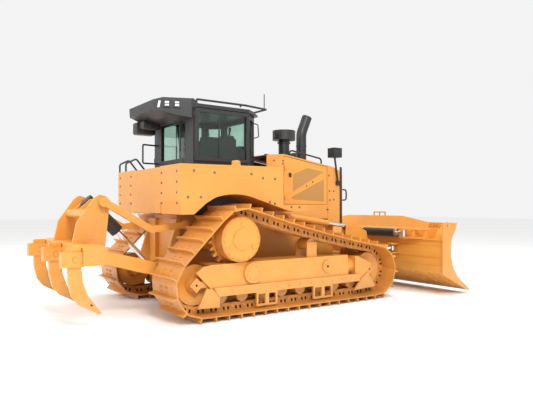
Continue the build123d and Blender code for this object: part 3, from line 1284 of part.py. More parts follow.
shank_profile = [
    (-3370, 1060),
    (-3208, 1060),
    (-3206, 800),
    (-3185, 620),
    (-3120, 440),
    (-2950, 205),
    (-2985, 190),
    (-3080, 250),
    (-3230, 330),
    (-3320, 450),
    (-3365, 640),
]
with BuildPart() as ripper_shanks:
    for shank_y in shank_ys:
        prism(side_view(shank_y), shank_profile, SHANK_THICKNESS / 2, both=True)
        disc(side_view(shank_y), SHANK_PIN, SHANK_PIN_RADIUS, 78, both=True)
save(ripper_shanks, "ripper_shanks")

names = ("ripper_cylinder", "ripper_rod")
trunnion = (RIPPER_TRUNNION[0], 0, RIPPER_TRUNNION[1])
rod_eye = (RIPPER_EYE[0], 0, RIPPER_EYE[1])
cylinder(
    names, trunnion, rod_eye, (0, 1, 0), (RIPPER_BARREL_RADIUS, -75, 588), (40, 900), RIPPER_EYE_HALF,
    EYE_RADIUS, 145
)


# ---- rails, lamps and caps ------------------------------------------------------------------
RAIL_RADIUS = 17
ROOF_RAIL_Y = 690
ROOF_RAIL_Z = 3190
with BuildPart() as roof_rails:
    points = [
        (-1420, -ROOF_RAIL_Y, CAB_ROOF_Z + 2),
        (-1420, -ROOF_RAIL_Y, ROOF_RAIL_Z),
        (-555, -ROOF_RAIL_Y, ROOF_RAIL_Z),
        (60, -400, 3230),
        (60, 400, 3230),
        (-555, ROOF_RAIL_Y, ROOF_RAIL_Z),
        (-1420, ROOF_RAIL_Y, ROOF_RAIL_Z),
        (-1420, ROOF_RAIL_Y, CAB_ROOF_Z + 2),
    ]
    bent_tube(points, 20, RAIL_RADIUS)
    for side in (-1, 1):
        bar((-640, side * ROOF_RAIL_Y, CAB_ROOF_Z + 2), (-640, side * ROOF_RAIL_Y, ROOF_RAIL_Z), 14)
    bar((20, -400, 3225), (20, -400, 3490), 8)
save(roof_rails, "roof_rails")

HANDRAIL_Y = 400
with BuildPart() as handrails:
    for side in (-1, 1):
        foot_rear, foot_front = hood_line(560) + 3, hood_line(1300) + 3
        y = side * HANDRAIL_Y
        points = [(560, y, foot_rear), (560, y, 2569), (1300, y, 2450), (1300, y, foot_front)]
        bent_tube(points, 60, 15)
        y = side * 530
        points = [
            (GUARD_FRONT_X + 2, y, 1690), (1805, y, 1690), (1805, y, 1885), (GUARD_FRONT_X + 2, y, 1885)
        ]
        bent_tube(points, 50, 14)
save(handrails, "handrails")

LAMP_ARM_Y = 590
with BuildPart() as front_lamps:
    for side in (-1, 1):
        y = side * LAMP_ARM_Y
        block((1500, side * (GUARD_WIDTH / 2 + 2), 1960), (1600, side * (LAMP_ARM_Y + 14), 2040))
        bar((1547, y, 1984), (1461, y, 2470), 18)
        block((1370, side * (LAMP_ARM_Y - 90), 2465), (1560, side * (LAMP_ARM_Y + 90), 2640))
save(front_lamps, "front_lamps")

with BuildPart() as filler_cap:
    disc(plan_view(FENDER_TOP + 14), (-975, -1100), 62, 70)
save(filler_cap, "filler_cap")
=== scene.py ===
import json
import math
import bmesh
import bpy
from mathutils import Matrix, Vector


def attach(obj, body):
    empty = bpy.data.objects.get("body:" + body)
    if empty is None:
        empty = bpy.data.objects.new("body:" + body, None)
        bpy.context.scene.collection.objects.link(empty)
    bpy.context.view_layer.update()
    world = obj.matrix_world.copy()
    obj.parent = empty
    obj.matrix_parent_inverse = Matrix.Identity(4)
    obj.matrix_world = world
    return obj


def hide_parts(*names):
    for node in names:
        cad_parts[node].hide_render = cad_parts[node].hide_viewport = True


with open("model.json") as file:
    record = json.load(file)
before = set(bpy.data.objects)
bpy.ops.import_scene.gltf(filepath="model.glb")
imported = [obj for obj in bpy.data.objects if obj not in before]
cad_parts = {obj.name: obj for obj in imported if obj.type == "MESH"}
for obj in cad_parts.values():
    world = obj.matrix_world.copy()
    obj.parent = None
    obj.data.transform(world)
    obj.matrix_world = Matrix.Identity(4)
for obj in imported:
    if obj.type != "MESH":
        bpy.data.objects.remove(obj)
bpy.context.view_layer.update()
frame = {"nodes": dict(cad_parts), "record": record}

SIDES = (("right", -1), ("left", 1))


# ---- materials ------------------------------------------------------------------------------
class Nodes:
    """A material's node tree, with short calls for the nodes used here."""

    def __init__(self, name):
        self.material = bpy.data.materials.new(name)
        self.material.use_nodes = True
        self.tree = self.material.node_tree
        self.shader = self.tree.nodes["Principled BSDF"]
        self.place = self.tree.nodes.new("ShaderNodeTexCoord").outputs["Object"]

    def link(self, source, target):
        self.tree.links.new(source, target)

    def noise(self, scale, detail=4.0, rough=0.6, stretch=None):
        node = self.tree.nodes.new("ShaderNodeTexNoise")
        node.inputs["Scale"].default_value = scale
        node.inputs["Detail"].default_value = detail
        node.inputs["Roughness"].default_value = rough
        source = self.place
        if stretch:
            mapping = self.tree.nodes.new("ShaderNodeMapping")
            mapping.inputs["Scale"].default_value = stretch
            self.link(source, mapping.inputs["Vector"])
            source = mapping.outputs["Vector"]
        self.link(source, node.inputs["Vector"])
        return node.outputs["Fac"]

    def ramp(self, source, low, high, start=0.0, end=1.0):
        node = self.tree.nodes.new("ShaderNodeMapRange")
        node.inputs["From Min"].default_value = low
        node.inputs["From Max"].default_value = high
        node.inputs["To Min"].default_value = start
        node.inputs["To Max"].default_value = end
        self.link(source, node.inputs["Value"])
        return node.outputs["Result"]

    def math(self, kind, first, second):
        node = self.tree.nodes.new("ShaderNodeMath")
        node.operation = kind
        for socket, value in zip(node.inputs, (first, second)):
            if isinstance(value, (int, float)):
                socket.default_value = value
            else:
                self.link(value, socket)
        return node.outputs["Value"]

    def mix(self, share, first, second):
        node = self.tree.nodes.new("ShaderNodeMix")
        node.data_type = "RGBA"
        self.link(share, node.inputs["Factor"])
        for socket, value in ((node.inputs[6], first), (node.inputs[7], second)):
            if isinstance(value, tuple):
                socket.default_value = value + (1.0,)
            else:
                self.link(value, socket)
        return node.outputs[2]

    def height(self):
        node = self.tree.nodes.new("ShaderNodeSeparateXYZ")
        self.link(self.place, node.inputs["Vector"])
        return node.outputs["Z"]

    def edges(self, low=0.51, high=0.56):
        geometry = self.tree.nodes.new("ShaderNodeNewGeometry")
        return self.ramp(geometry.outputs["Pointiness"], low, high)

    def bump(self, source, strength, distance):
        node = self.tree.nodes.new("ShaderNodeBump")
        node.inputs["Strength"].default_value = strength
        node.inputs["Distance"].default_value = distance
        self.link(source, node.inputs["Height"])
        self.link(node.outputs["Normal"], self.shader.inputs["Normal"])


def painted(name, colour, shade, dust, dust_top, rough=0.38, worn=None, worn_share=0.0):
    """Sprayed paint with orange peel, slow colour drift, dust low down and rubbed edges."""
    n = Nodes(name)
    drift = n.noise(1.6, 3.0)
    base = n.mix(n.ramp(drift, 0.35, 0.65), colour, shade)
    grime = n.noise(7.0, 8.0, 0.7)
    low = n.ramp(n.height(), 0.0, dust_top, 1.0, 0.0)
    share = n.math("MULTIPLY", n.ramp(grime, 0.42, 0.72), low)
    base = n.mix(share, base, dust)
    if worn:
        scratch = n.noise(46.0, 6.0, 0.75)
        chips = n.math("MULTIPLY", n.edges(), n.ramp(scratch, 0.42, 0.6, 0.0, worn_share))
        base = n.mix(chips, base, worn)
    n.link(base, n.shader.inputs["Base Color"])
    n.link(n.ramp(grime, 0.3, 0.8, rough - 0.07, rough + 0.16), n.shader.inputs["Roughness"])
    n.shader.inputs["Coat Weight"].default_value = 0.15
    n.shader.inputs["Coat Roughness"].default_value = 0.25
    n.bump(n.noise(160.0, 2.0), 0.12, 0.002)
    return n.material


def metal(name, colour, shade, rough, metallic=1.0, scale=30.0, stretch=None):
    """Bare or plated metal with fine machining or rolling marks."""
    n = Nodes(name)
    marks = n.noise(scale, 6.0, 0.7, stretch)
    n.link(n.mix(n.ramp(marks, 0.3, 0.7), colour, shade), n.shader.inputs["Base Color"])
    n.link(n.ramp(marks, 0.3, 0.7, rough * 0.7, rough * 1.4), n.shader.inputs["Roughness"])
    n.shader.inputs["Metallic"].default_value = metallic
    n.bump(marks, 0.08, 0.001)
    return n.material


def moulded(name, colour, rough=0.6, grain=240.0, depth=0.0012):
    """Moulded plastic or rubber with a fine grain."""
    n = Nodes(name)
    shade = tuple(c * 0.72 for c in colour)
    n.link(n.mix(n.ramp(n.noise(9.0, 4.0), 0.35, 0.65), colour, shade), n.shader.inputs["Base Color"])
    n.link(n.ramp(n.noise(30.0, 3.0), 0.3, 0.7, rough - 0.08, rough + 0.1), n.shader.inputs["Roughness"])
    n.bump(n.noise(grain, 2.0), 0.35, depth)
    return n.material


def woven(name, colour):
    """Upholstery cloth: crossed threads with a soft sheen."""
    n = Nodes(name)
    weft = n.noise(420.0, 1.0, 0.5, (1.0, 1.0, 0.12))
    warp = n.noise(420.0, 1.0, 0.5, (0.12, 1.0, 1.0))
    weave = n.math("MULTIPLY", weft, warp)
    shade = tuple(min(1.0, c * 1.9) for c in colour)
    n.link(n.mix(n.ramp(weave, 0.15, 0.4), colour, shade), n.shader.inputs["Base Color"])
    n.shader.inputs["Roughness"].default_value = 0.9
    n.shader.inputs["Sheen Weight"].default_value = 0.3
    n.bump(weave, 0.5, 0.0015)
    return n.material


def glazing(name, colour, rough=0.03):
    """Tinted safety glass with faint haze."""
    n = Nodes(name)
    haze = n.noise(5.0, 5.0, 0.7)
    shade = tuple(c * 0.94 for c in colour)
    n.link(n.mix(n.ramp(haze, 0.3, 0.7), colour, shade), n.shader.inputs["Base Color"])
    n.link(n.ramp(haze, 0.3, 0.7, rough, rough + 0.04), n.shader.inputs["Roughness"])
    n.shader.inputs["Transmission Weight"].default_value = 1.0
    n.shader.inputs["IOR"].default_value = 1.45
    return n.material


def punched(name, colour, hole_shadow, holes_a_metre):
    """Painted sheet punched with round holes in a regular grid, the holes coloured near-black as painted
    shadow.
    """
    n = Nodes(name)
    cells = n.tree.nodes.new("ShaderNodeTexVoronoi")
    cells.inputs["Scale"].default_value = holes_a_metre
    cells.inputs["Randomness"].default_value = 0.0
    n.link(n.place, cells.inputs["Vector"])
    # Painted shadow: the holes take the near-black hole colour in place of the dark space behind the sheet
    n.link(n.mix(n.ramp(cells.outputs["Distance"], 0.30, 0.38), hole_shadow, colour), n.shader.inputs["Base Color"])
    n.shader.inputs["Roughness"].default_value = 0.5
    n.bump(cells.outputs["Distance"], 0.3, 0.002)
    return n.material


YELLOW_RGB = (0.74, 0.31, 0.045)
YELLOW_SHADE = (0.69, 0.28, 0.040)
YELLOW_DUST = (0.60, 0.36, 0.12)
YELLOW_WORN = (0.42, 0.24, 0.09)
yellow = painted("yellow paint", YELLOW_RGB, YELLOW_SHADE, YELLOW_DUST, 1.1, 0.36, YELLOW_WORN, 0.35)
TRACK_RGB = (0.68, 0.28, 0.045)
TRACK_SHADE = (0.58, 0.235, 0.040)
TRACK_DUST = (0.42, 0.20, 0.06)
TRACK_WORN = (0.30, 0.16, 0.06)
track_yellow = painted("track paint", TRACK_RGB, TRACK_SHADE, TRACK_DUST, 0.9, 0.44, TRACK_WORN, 0.35)
BLACK_RGB = (0.012, 0.012, 0.014)
BLACK_SHADE = (0.008, 0.008, 0.010)
BLACK_DUST = (0.05, 0.045, 0.04)
BLACK_WORN = (0.06, 0.055, 0.05)
black = painted("black paint", BLACK_RGB, BLACK_SHADE, BLACK_DUST, 1.2, 0.46, BLACK_WORN, 0.3)
chrome = metal("chrome", (0.85, 0.86, 0.88), (0.70, 0.71, 0.73), 0.12, 1.0, 60.0, (1.0, 1.0, 8.0))
steel = metal("worn steel", (0.42, 0.38, 0.33), (0.28, 0.25, 0.21), 0.42)
glass = glazing("tinted glass", (0.62, 0.80, 0.72))
plastic = moulded("cab plastic", (0.035, 0.035, 0.038))
rubber = moulded("black rubber", (0.02, 0.02, 0.02), 0.7, 120.0)
cloth = woven("seat cloth", (0.03, 0.031, 0.034))
BOLT_RGB = (0.10, 0.085, 0.07)
BOLT_SHADE = (0.06, 0.05, 0.042)
BOLT_DUST = (0.22, 0.14, 0.07)
BOLT_WORN = (0.3, 0.27, 0.22)
bolt_dark = painted("worn pin steel", BOLT_RGB, BOLT_SHADE, BOLT_DUST, 1.5, 0.5, BOLT_WORN, 0.6)
shadow_black = moulded("window shadow", (0.012, 0.010, 0.009), 0.8)
lamp_white = moulded("lamp lens", (0.85, 0.86, 0.86), 0.18, 90.0, 0.002)
# Door grille: the sheet colour, darker than the yellow paint, is painted shade, and the near-black hole
# colour is painted shadow
perforated = punched("perforated panel", (0.44, 0.22, 0.05), (0.03, 0.022, 0.015), 95.0)

SLOT_LOOKS = {
    "yellow_paint": yellow,
    "black_paint": black,
    "track_steel": track_yellow,
    "worn_steel": yellow,
    "rod_chrome": chrome,
    "window_glass": glass,
    "seat_cloth": cloth,
    "cab_plastic": plastic,
}
slots = {part["node"]: part["material_slot"] for part in frame["record"]["subparts"]}
for node, thing in frame["nodes"].items():
    look = SLOT_LOOKS[slots[node]]
    thing.data.materials.clear()
    thing.data.materials.append(look)

# ---- helpers for the small pieces ------------------------------------------------------------
TWO_PI = 2.0 * math.pi
UP = Vector((0.0, 0.0, 1.0))


def publish(name, body, mesh, look, smooth=0.6):
    """Give a finished mesh its object, material and body."""
    mesh.materials.append(look)
    thing = bpy.data.objects.new(name, mesh)
    bpy.context.collection.objects.link(thing)
    for face in mesh.polygons:
        face.use_smooth = True
    mesh.set_sharp_from_angle(angle=smooth)
    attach(thing, body)
    return thing


def from_bmesh(name, body, shape, look, smooth=0.6):
    mesh = bpy.data.meshes.new(name)
    shape.to_mesh(mesh)
    shape.free()
    return publish(name, body, mesh, look, smooth)


def turned(shape, place, axis, profile, sides):
    """Add a revolved form: profile is (height along the axis, radius) from the base to the top."""
    frame_matrix = Vector(axis).to_track_quat("Z", "Y").to_matrix().to_4x4()
    frame_matrix.translation = Vector(place)
    rings = []
    for height, radius in profile:
        points = []
        for i in range(sides):
            turn = TWO_PI * (i + 0.5) / sides
            spot = Vector((radius * math.cos(turn), radius * math.sin(turn), height))
            points.append(shape.verts.new(frame_matrix @ spot))
        rings.append(points)
    for low, high in zip(rings, rings[1:]):
        for i in range(sides):
            j = (i + 1) % sides
            shape.faces.new((low[i], low[j], high[j], high[i]))
    shape.faces.new(list(reversed(rings[0])))
    shape.faces.new(rings[-1])


def hex_bolt(shape, place, axis, radius):
    """Washer and hexagon head standing on a face."""
    washer = [(0.0, radius * 1.45), (radius * 0.18, radius * 1.45), (radius * 0.22, radius * 1.38)]
    turned(shape, place, axis, washer, 12)
    head = [(radius * 0.2, radius), (radius * 0.75, radius), (radius * 0.88, radius * 0.86)]
    turned(shape, Vector(place), axis, head, 6)


def solid(shape, low, high, bevel=0.004):
    """Add a box between two corners with its edges bevelled."""
    ends = list(zip(low, high))
    verts = [shape.verts.new((x, y, z)) for z in ends[2] for y in ends[1] for x in ends[0]]
    quads = ((0, 2, 3, 1), (4, 5, 7, 6), (0, 1, 5, 4), (2, 6, 7, 3), (0, 4, 6, 2), (1, 3, 7, 5))
    faces = [shape.faces.new([verts[i] for i in quad]) for quad in quads]
    bmesh.ops.recalc_face_normals(shape, faces=faces)
    edges = list({edge for face in faces for edge in face.edges})
    if bevel:
        bmesh.ops.bevel(shape, geom=edges, offset=bevel, segments=2, affect="EDGES", profile=0.5)


def plate(shape, outline, side_y, thickness, bevel=0.003):
    """Add a plate whose outline lies in side view, from side_y outwards by thickness (signed)."""
    near = [shape.verts.new((x, side_y, z)) for x, z in outline]
    far = [shape.verts.new((x, side_y + thickness, z)) for x, z in outline]
    faces = [shape.faces.new(near), shape.faces.new(list(reversed(far)))]
    for i in range(len(outline)):
        j = (i + 1) % len(outline)
        faces.append(shape.faces.new((near[j], near[i], far[i], far[j])))
    bmesh.ops.recalc_face_normals(shape, faces=faces)
    if bevel:
        edges = [edge for edge in faces[1].edges]
        bmesh.ops.bevel(shape, geom=edges, offset=bevel, segments=1, affect="EDGES")


def tube(name, body, points, radius, look, bend=3):
    """A bent bar or hose along a smooth line through its control points."""
    curve = bpy.data.curves.new(name, "CURVE")
    curve.dimensions = "3D"
    curve.bevel_depth = radius
    curve.bevel_resolution = 3
    curve.resolution_u = 10
    curve.use_fill_caps = True
    spline = curve.splines.new("NURBS")
    spline.points.add(len(points) - 1)
    for point, spot in zip(points, spline.points):
        spot.co = (*point, 1.0)
    spline.order_u = bend
    spline.use_endpoint_u = True
    curve.materials.append(look)
    thing = bpy.data.objects.new(name, curve)
    bpy.context.collection.objects.link(thing)
    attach(thing, body)
    return thing


def soft_corners(points, reach):
    """Control points that keep straight runs and round each corner over the given reach."""
    points = [Vector(p) for p in points]
    out = [points[0]]
    for before, corner, after in zip(points, points[1:], points[2:]):
        back = (before - corner).normalized() * min(reach, (before - corner).length / 2)
        on = (after - corner).normalized() * min(reach, (after - corner).length / 2)
        out += [corner + back, corner, corner + on]
    return out + [points[-1]]


def row(start, end, count):
    start, end = Vector(start), Vector(end)
    return [start.lerp(end, i / (count - 1)) for i in range(count)]


def ring(centre, radius, count, phase=0.0):
    """Spots on a circle in side view."""
    x, y, z = centre
    turns = [phase + TWO_PI * i / count for i in range(count)]
    return [Vector((x + radius * math.cos(t), y, z + radius * math.sin(t))) for t in turns]


# ---- chains ---------------------------------------------------------------------------------
PITCH = 0.203
TRACK_Y = 1.143
RAIL_OUT_Y = 0.102
PIN_HEIGHT = 0.141
IDLER_R = 0.345
SPROCKET_R = PITCH / (2.0 * math.sin(TWO_PI / 23))
REAR_IDLER = Vector((-1.737, PIN_HEIGHT + IDLER_R))
FRONT_IDLER = Vector((1.603, PIN_HEIGHT + IDLER_R))
SPROCKET = Vector((-1.080, 1.100))
SAG = 0.045


def common_tangent(centre_a, radius_a, centre_b, radius_b):
    reach = centre_b - centre_a
    turn = math.atan2(reach.y, reach.x) - math.acos((radius_a - radius_b) / reach.length)
    outward = Vector((math.cos(turn), math.sin(turn)))
    return centre_a + outward * radius_a, centre_b + outward * radius_b


def arc(centre, start, end, steps=48):
    """Points anticlockwise in side view from start to end, without the first."""
    first = math.atan2(start.y - centre.y, start.x - centre.x)
    last = math.atan2(end.y - centre.y, end.x - centre.x)
    sweep = (last - first) % TWO_PI
    radius = (start - centre).length
    turns = [first + sweep * i / steps for i in range(1, steps + 1)]
    return [centre + Vector((math.cos(t), math.sin(t))) * radius for t in turns]


def chain_pins():
    low_rear, low_front = common_tangent(REAR_IDLER, IDLER_R, FRONT_IDLER, IDLER_R)
    top_front, top_rear = common_tangent(FRONT_IDLER, IDLER_R, SPROCKET, SPROCKET_R)
    climb_top, climb_foot = common_tangent(SPROCKET, SPROCKET_R, REAR_IDLER, IDLER_R)
    line = [low_rear, low_front] + arc(FRONT_IDLER, low_front, top_front)
    run = top_rear - top_front
    down = Vector((-run.y, run.x)).normalized()
    down = down if down.y < 0 else -down
    for i in range(1, 49):
        share = i / 48
        line.append(top_front + run * share + down * SAG * 4 * share * (1 - share))
    line += arc(SPROCKET, top_rear, climb_top) + [climb_foot] + arc(REAR_IDLER, climb_foot, low_rear)
    lengths = [(b - a).length for a, b in zip(line, line[1:])]
    count = round(sum(lengths) / PITCH)
    step = sum(lengths) / count
    pins, travelled, index = [], 0.0, 0
    for i in range(count):
        while travelled + lengths[index] < i * step:
            travelled += lengths[index]
            index += 1
        share = (i * step - travelled) / lengths[index]
        pins.append(line[index].lerp(line[index + 1], share))
    return pins


PINS = chain_pins()
PIN_END = [(0, 0.036), (0.010, 0.036), (0.013, 0.030), (0.013, 0.018), (0.005, 0.015)]
PLATE_HEIGHT = 0.076  # pin line out to the shoe plate's outer face
for name, side in SIDES:
    pin_ends, windows, shoe_bolts = bmesh.new(), bmesh.new(), bmesh.new()
    for index, pin in enumerate(PINS):
        after = PINS[(index + 1) % len(PINS)]
        forward = (after - pin).normalized()
        out = Vector((forward.y, -forward.x))
        for face in (-1, 1):
            rail_y = side * TRACK_Y + face * RAIL_OUT_Y
            turned(pin_ends, (pin.x, rail_y, pin.y), (0, face, 0), PIN_END, 16)
            for shift in (0.30, 0.66):
                middle = pin + forward * PITCH * shift + out * 0.030
                corners = [(-0.020, -0.026), (0.012, -0.026), (0.020, 0.020), (-0.012, 0.024)]
                spots = [middle + forward * a + out * b for a, b in corners]
                plate(windows, [(p.x, p.y) for p in spots], rail_y, face * 0.003, 0.001)
        for rail in (-0.08, 0.08):
            for shift in (0.34, 0.66):
                spot = pin + forward * PITCH * shift + out * PLATE_HEIGHT
                for spread in (-0.030, 0.030):
                    place = (spot.x, side * TRACK_Y + rail + spread, spot.y)
                    hex_bolt(shoe_bolts, place, (out.x, 0, out.y), 0.013)
    from_bmesh(f"pin_ends_{name}", "tractor", pin_ends, track_yellow)
    from_bmesh(f"link_windows_{name}", "tractor", windows, shadow_black)
    from_bmesh(f"shoe_bolts_{name}", "tractor", shoe_bolts, track_yellow)

# ---- bolts -----------------------------------------------------------------------------------
COVER_Y = 1.4502
AXLE_FACE_Y = 1.3152
LEDGE_Y = 1.3932
CAP_Y = 1.4035
PLUG_Y = 1.3832
FENDER_FACE_Y = 1.2302
HOOD_FACE_Y = 0.5602
GUARD_FACE_Y = 0.5702
TANK_REAR_X = -1.9502
FINAL_DRIVE = (-1.080, 1.100)
FRAME_PIVOT = (-0.858, 0.605)
FRAME_PLUG = (0.590, 0.605)
FENDER_BOLTS = (
    (-0.575, 2.001), (-0.351, 1.992), (-0.446, 1.638), (-0.352, 1.616), (-1.737, 2.069), (-1.412, 2.053),
    (-0.783, 2.054), (-1.828, 1.700), (-1.627, 1.702), (-0.032, 1.562), (0.128, 1.562),
)
for name, side in SIDES:
    heads = bmesh.new()
    for spot in ring((FINAL_DRIVE[0], side * COVER_Y, FINAL_DRIVE[1]), 0.285, 20, 0.1):
        hex_bolt(heads, spot, (0, side, 0), 0.013)
    for spot in ring((FRAME_PIVOT[0], side * CAP_Y, FRAME_PIVOT[1]), 0.098, 8, 0.2):
        hex_bolt(heads, spot, (0, side, 0), 0.011)
    from_bmesh(f"drive_bolts_{name}", "tractor", heads, yellow)

    heads = bmesh.new()
    for x, z in FENDER_BOLTS:
        hex_bolt(heads, (x, side * FENDER_FACE_Y, z), (0, side, 0), 0.014)
    from_bmesh(f"fender_bolts_{name}", "tractor", heads, bolt_dark)

# ---- rear tank ---------------------------------------------------------------------------------
heads = bmesh.new()
for y in (-1.13, -0.62, 0.62, 1.13):
    for spot in row((TANK_REAR_X, y, 1.62), (TANK_REAR_X, y, 2.06), 4):
        hex_bolt(heads, spot, (-1, 0, 0), 0.012)
from_bmesh("tank_bolts", "tractor", heads, bolt_dark)

# ---- undercarriage -------------------------------------------------------------------------------
for name, side in SIDES:
    holes, heads = bmesh.new(), bmesh.new()
    for axle in (REAR_IDLER, FRONT_IDLER):
        centre = (axle.x, side * AXLE_FACE_Y, axle.y)
        turned(holes, centre, (0, side, 0), [(0, 0.016), (0.002, 0.016)], 16)
        for spot in ring(centre, 0.062, 4):
            hex_bolt(heads, spot, (0, side, 0), 0.009)
    for spot in row((-0.640, side * LEDGE_Y, 0.375), (0.900, side * LEDGE_Y, 0.375), 8):
        hex_bolt(heads, spot, (0, side, 0), 0.012)
    centre = (FRAME_PLUG[0], side * PLUG_Y, FRAME_PLUG[1])
    turned(holes, centre, (0, side, 0), [(0, 0.020), (0.002, 0.020)], 20)
    for spot in ring(centre, 0.050, 6):
        hex_bolt(heads, spot, (0, side, 0), 0.008)
    from_bmesh(f"axle_holes_{name}", "tractor", holes, shadow_black)
    from_bmesh(f"frame_bolts_{name}", "tractor", heads, yellow)

# ---- hood, engine doors and guard ---------------------------------------------------------------
DOOR_GRILLES = [
    [(0.518, 1.827), (1.225, 2.195), (0.843, 2.252), (0.518, 2.131)],
    [(0.489, 1.697), (1.225, 1.657), (1.225, 2.065), (0.489, 1.734)],
]
for name, side in SIDES:
    heads = bmesh.new()
    for x, z in ((0.112, 2.348), (0.302, 2.358), (0.302, 2.306)):
        hex_bolt(heads, (x, side * HOOD_FACE_Y, z), (0, side, 0), 0.012)
    for x, z in ((1.345, 2.135), (1.352, 1.852), (1.452, 1.854), (1.364, 1.688), (1.456, 1.698)):
        hex_bolt(heads, (x, side * GUARD_FACE_Y, z), (0, side, 0), 0.013)
    from_bmesh(f"body_bolts_{name}", "tractor", heads, bolt_dark)

    strip = bmesh.new()
    edge_strip = [(1.600, 1.262), (1.658, 1.262), (1.658, 2.296), (1.600, 2.306)]
    plate(strip, edge_strip, side * 0.5701, side * 0.005)
    # The finger slot is a thin black plate in the slot's outline: painted shade of the opening
    finger_slot = [(1.278, 1.508), (1.336, 1.508), (1.330, 1.526), (1.284, 1.526)]
    plate(strip, finger_slot, side * 0.5701, side * 0.0015, 0.001)
    from_bmesh(f"guard_strip_{name}", "tractor", strip, black)

    mesh_panels = bmesh.new()
    for outline in DOOR_GRILLES:
        plate(mesh_panels, outline, side * HOOD_FACE_Y, side * 0.0012, 0)
    from_bmesh(f"door_mesh_{name}", f"engine_door_{name}", mesh_panels, perforated)
    heads = bmesh.new()
    for x, z in ((0.959, 2.006), (0.821, 1.932)):
        hex_bolt(heads, (x, side * HOOD_FACE_Y, z), (0, side, 0), 0.012)
    from_bmesh(f"door_bolts_{name}", f"engine_door_{name}", heads, bolt_dark)

    grip = bmesh.new()
    latch_plate = [(0.420, 2.080), (0.468, 2.080), (0.468, 2.150), (0.420, 2.150)]
    plate(grip, latch_plate, side * 0.5755, side * 0.010)
    latch_knob = [(0, 0.016), (0.012, 0.014), (0.014, 0.010)]
    turned(grip, (0.444, side * 0.585, 2.115), (0, side, 0), latch_knob, 16)
    from_bmesh(f"door_latch_{name}", f"engine_door_{name}", grip, black)

# ---- exhaust and precleaner -----------------------------------------------------------------------
STACK_X = 1.150
STACK_FOOT = [(0.0, 0.125), (0.030, 0.125), (0.045, 0.104), (0.075, 0.100)]
fittings = bmesh.new()
turned(fittings, (STACK_X, 0, 2.365), (0, 0, 1), STACK_FOOT, 32)
turned(fittings, (STACK_X, 0, 2.700), (0, 0, 1), [(0.0, 0.1005), (0.022, 0.1005)], 32)
for spot in ring((0, 0, 0), 0.112, 8):
    hex_bolt(fittings, (STACK_X + spot.x, spot.z, 2.394), (0, 0, 1), 0.009)
turned(fittings, (0.590, -0.200, 2.700), (0, 0, 1), [(0.0, 0.118), (0.020, 0.118), (0.026, 0.112)], 32)
from_bmesh("stack_fittings", "tractor", fittings, black)

# ---- roof lamps ------------------------------------------------------------------------------------
BOX_QUADS = ((3, 2, 1, 0), (4, 5, 6, 7), (0, 1, 5, 4), (1, 2, 6, 5), (2, 3, 7, 6), (3, 0, 4, 7))
SQUARE = ((-1, -1), (1, -1), (1, 1), (-1, 1))
LEANING = ((-0.026, -0.050), (0.006, -0.050), (0.024, 0.050), (-0.008, 0.050))


def on_wall(shape, corners, wall, low, high, bevel):
    """Add a slab with these corners on a slanted wall, from low to high along the wall's normal."""
    verts = [shape.verts.new(corner + wall * depth) for depth in (low, high) for corner in corners]
    faces = [shape.faces.new([verts[i] for i in quad]) for quad in BOX_QUADS]
    bmesh.ops.recalc_face_normals(shape, faces=faces)
    if bevel:
        edges = list({edge for face in faces for edge in face.edges})
        bmesh.ops.bevel(shape, geom=edges, offset=bevel, segments=2, affect="EDGES")


# The roof's rear side walls run inwards to the rear, so each lamp lies on a slanted plane
for name, side in SIDES:
    wall = Vector((-0.3739, side * 0.9275, 0.0))
    along = Vector((-0.9275, side * -0.3739, 0.0))
    housings, lenses = bmesh.new(), bmesh.new()
    for centre in (Vector((-1.708, side * 0.621, 3.094)), Vector((-1.846, side * 0.566, 3.094))):
        corners = [centre + along * 0.056 * a + UP * 0.058 * b for a, b in SQUARE]
        on_wall(housings, corners, wall, -0.004, 0.018, 0.004)
        for shift in (-0.020, 0.020):
            corners = [centre + along * 0.032 * a + UP * (0.015 * b + shift) for a, b in SQUARE]
            on_wall(lenses, corners, wall, 0.014, 0.022, 0.004)
    centre = Vector((-1.952, side * 0.523, 3.083))
    corners = [centre - along * a + UP * b for a, b in LEANING]
    on_wall(lenses, corners, wall, -0.003, 0.008, 0.0)
    from_bmesh(f"roof_lamp_housings_{name}", "tractor", housings, black)
    from_bmesh(f"roof_lamp_lenses_{name}", "tractor", lenses, lamp_white)

# ---- cab -------------------------------------------------------------------------------------------
for name, side in SIDES:
    bars = bmesh.new()
    near, far = sorted((side * 0.7485, side * 0.757))
    solid(bars, (-1.078, near, 2.300), (-1.054, far, 3.000), 0.003)
    from_bmesh(f"window_bar_{name}", f"cab_door_{name}", bars, black)
    side_points = ((0.764, 2.480), (0.800, 2.480), (0.800, 2.700), (0.764, 2.700))
    grip = [(-0.600, side * y, z) for y, z in side_points]
    grip = soft_corners(grip, 0.02)
    tube(f"door_handle_{name}", f"cab_door_{name}", grip, 0.010, black)

rear_grab = [(-1.480, 0.600, 2.290), (-1.770, 0.560, 2.290), (-1.770, 0.560, 2.600), (-1.480, 0.620, 2.600)]
tube("grab_rail_rear", "tractor", soft_corners(rear_grab, 0.05), 0.014, black)
front_grab = [
    (-0.262, -0.462, 2.965), (-0.170, -0.490, 2.935), (-0.155, -0.490, 2.735), (-0.262, -0.462, 2.700)
]
tube("grab_loop_front", "tractor", soft_corners(front_grab, 0.03), 0.009, black)
wiper = [(-1.502, -0.303, 2.330), (-1.508, -0.303, 2.330), (-1.508, -0.300, 2.940)]
tube("rear_wiper", "tractor", soft_corners(wiper, 0.004), 0.007, black)
blade_wiper = bmesh.new()
solid(blade_wiper, (-1.506, -0.318, 2.430), (-1.498, -0.302, 2.930), 0.002)
from_bmesh("wiper_blade", "tractor", blade_wiper, rubber)

unit = bmesh.new()
solid(unit, (-1.900, 0.500, 2.760), (-1.560, 0.700, 2.960), 0.030)
solid(unit, (-1.860, 0.300, 2.830), (-1.560, 0.520, 2.965), 0.024)
from_bmesh("air_conditioner", "tractor", unit, black)

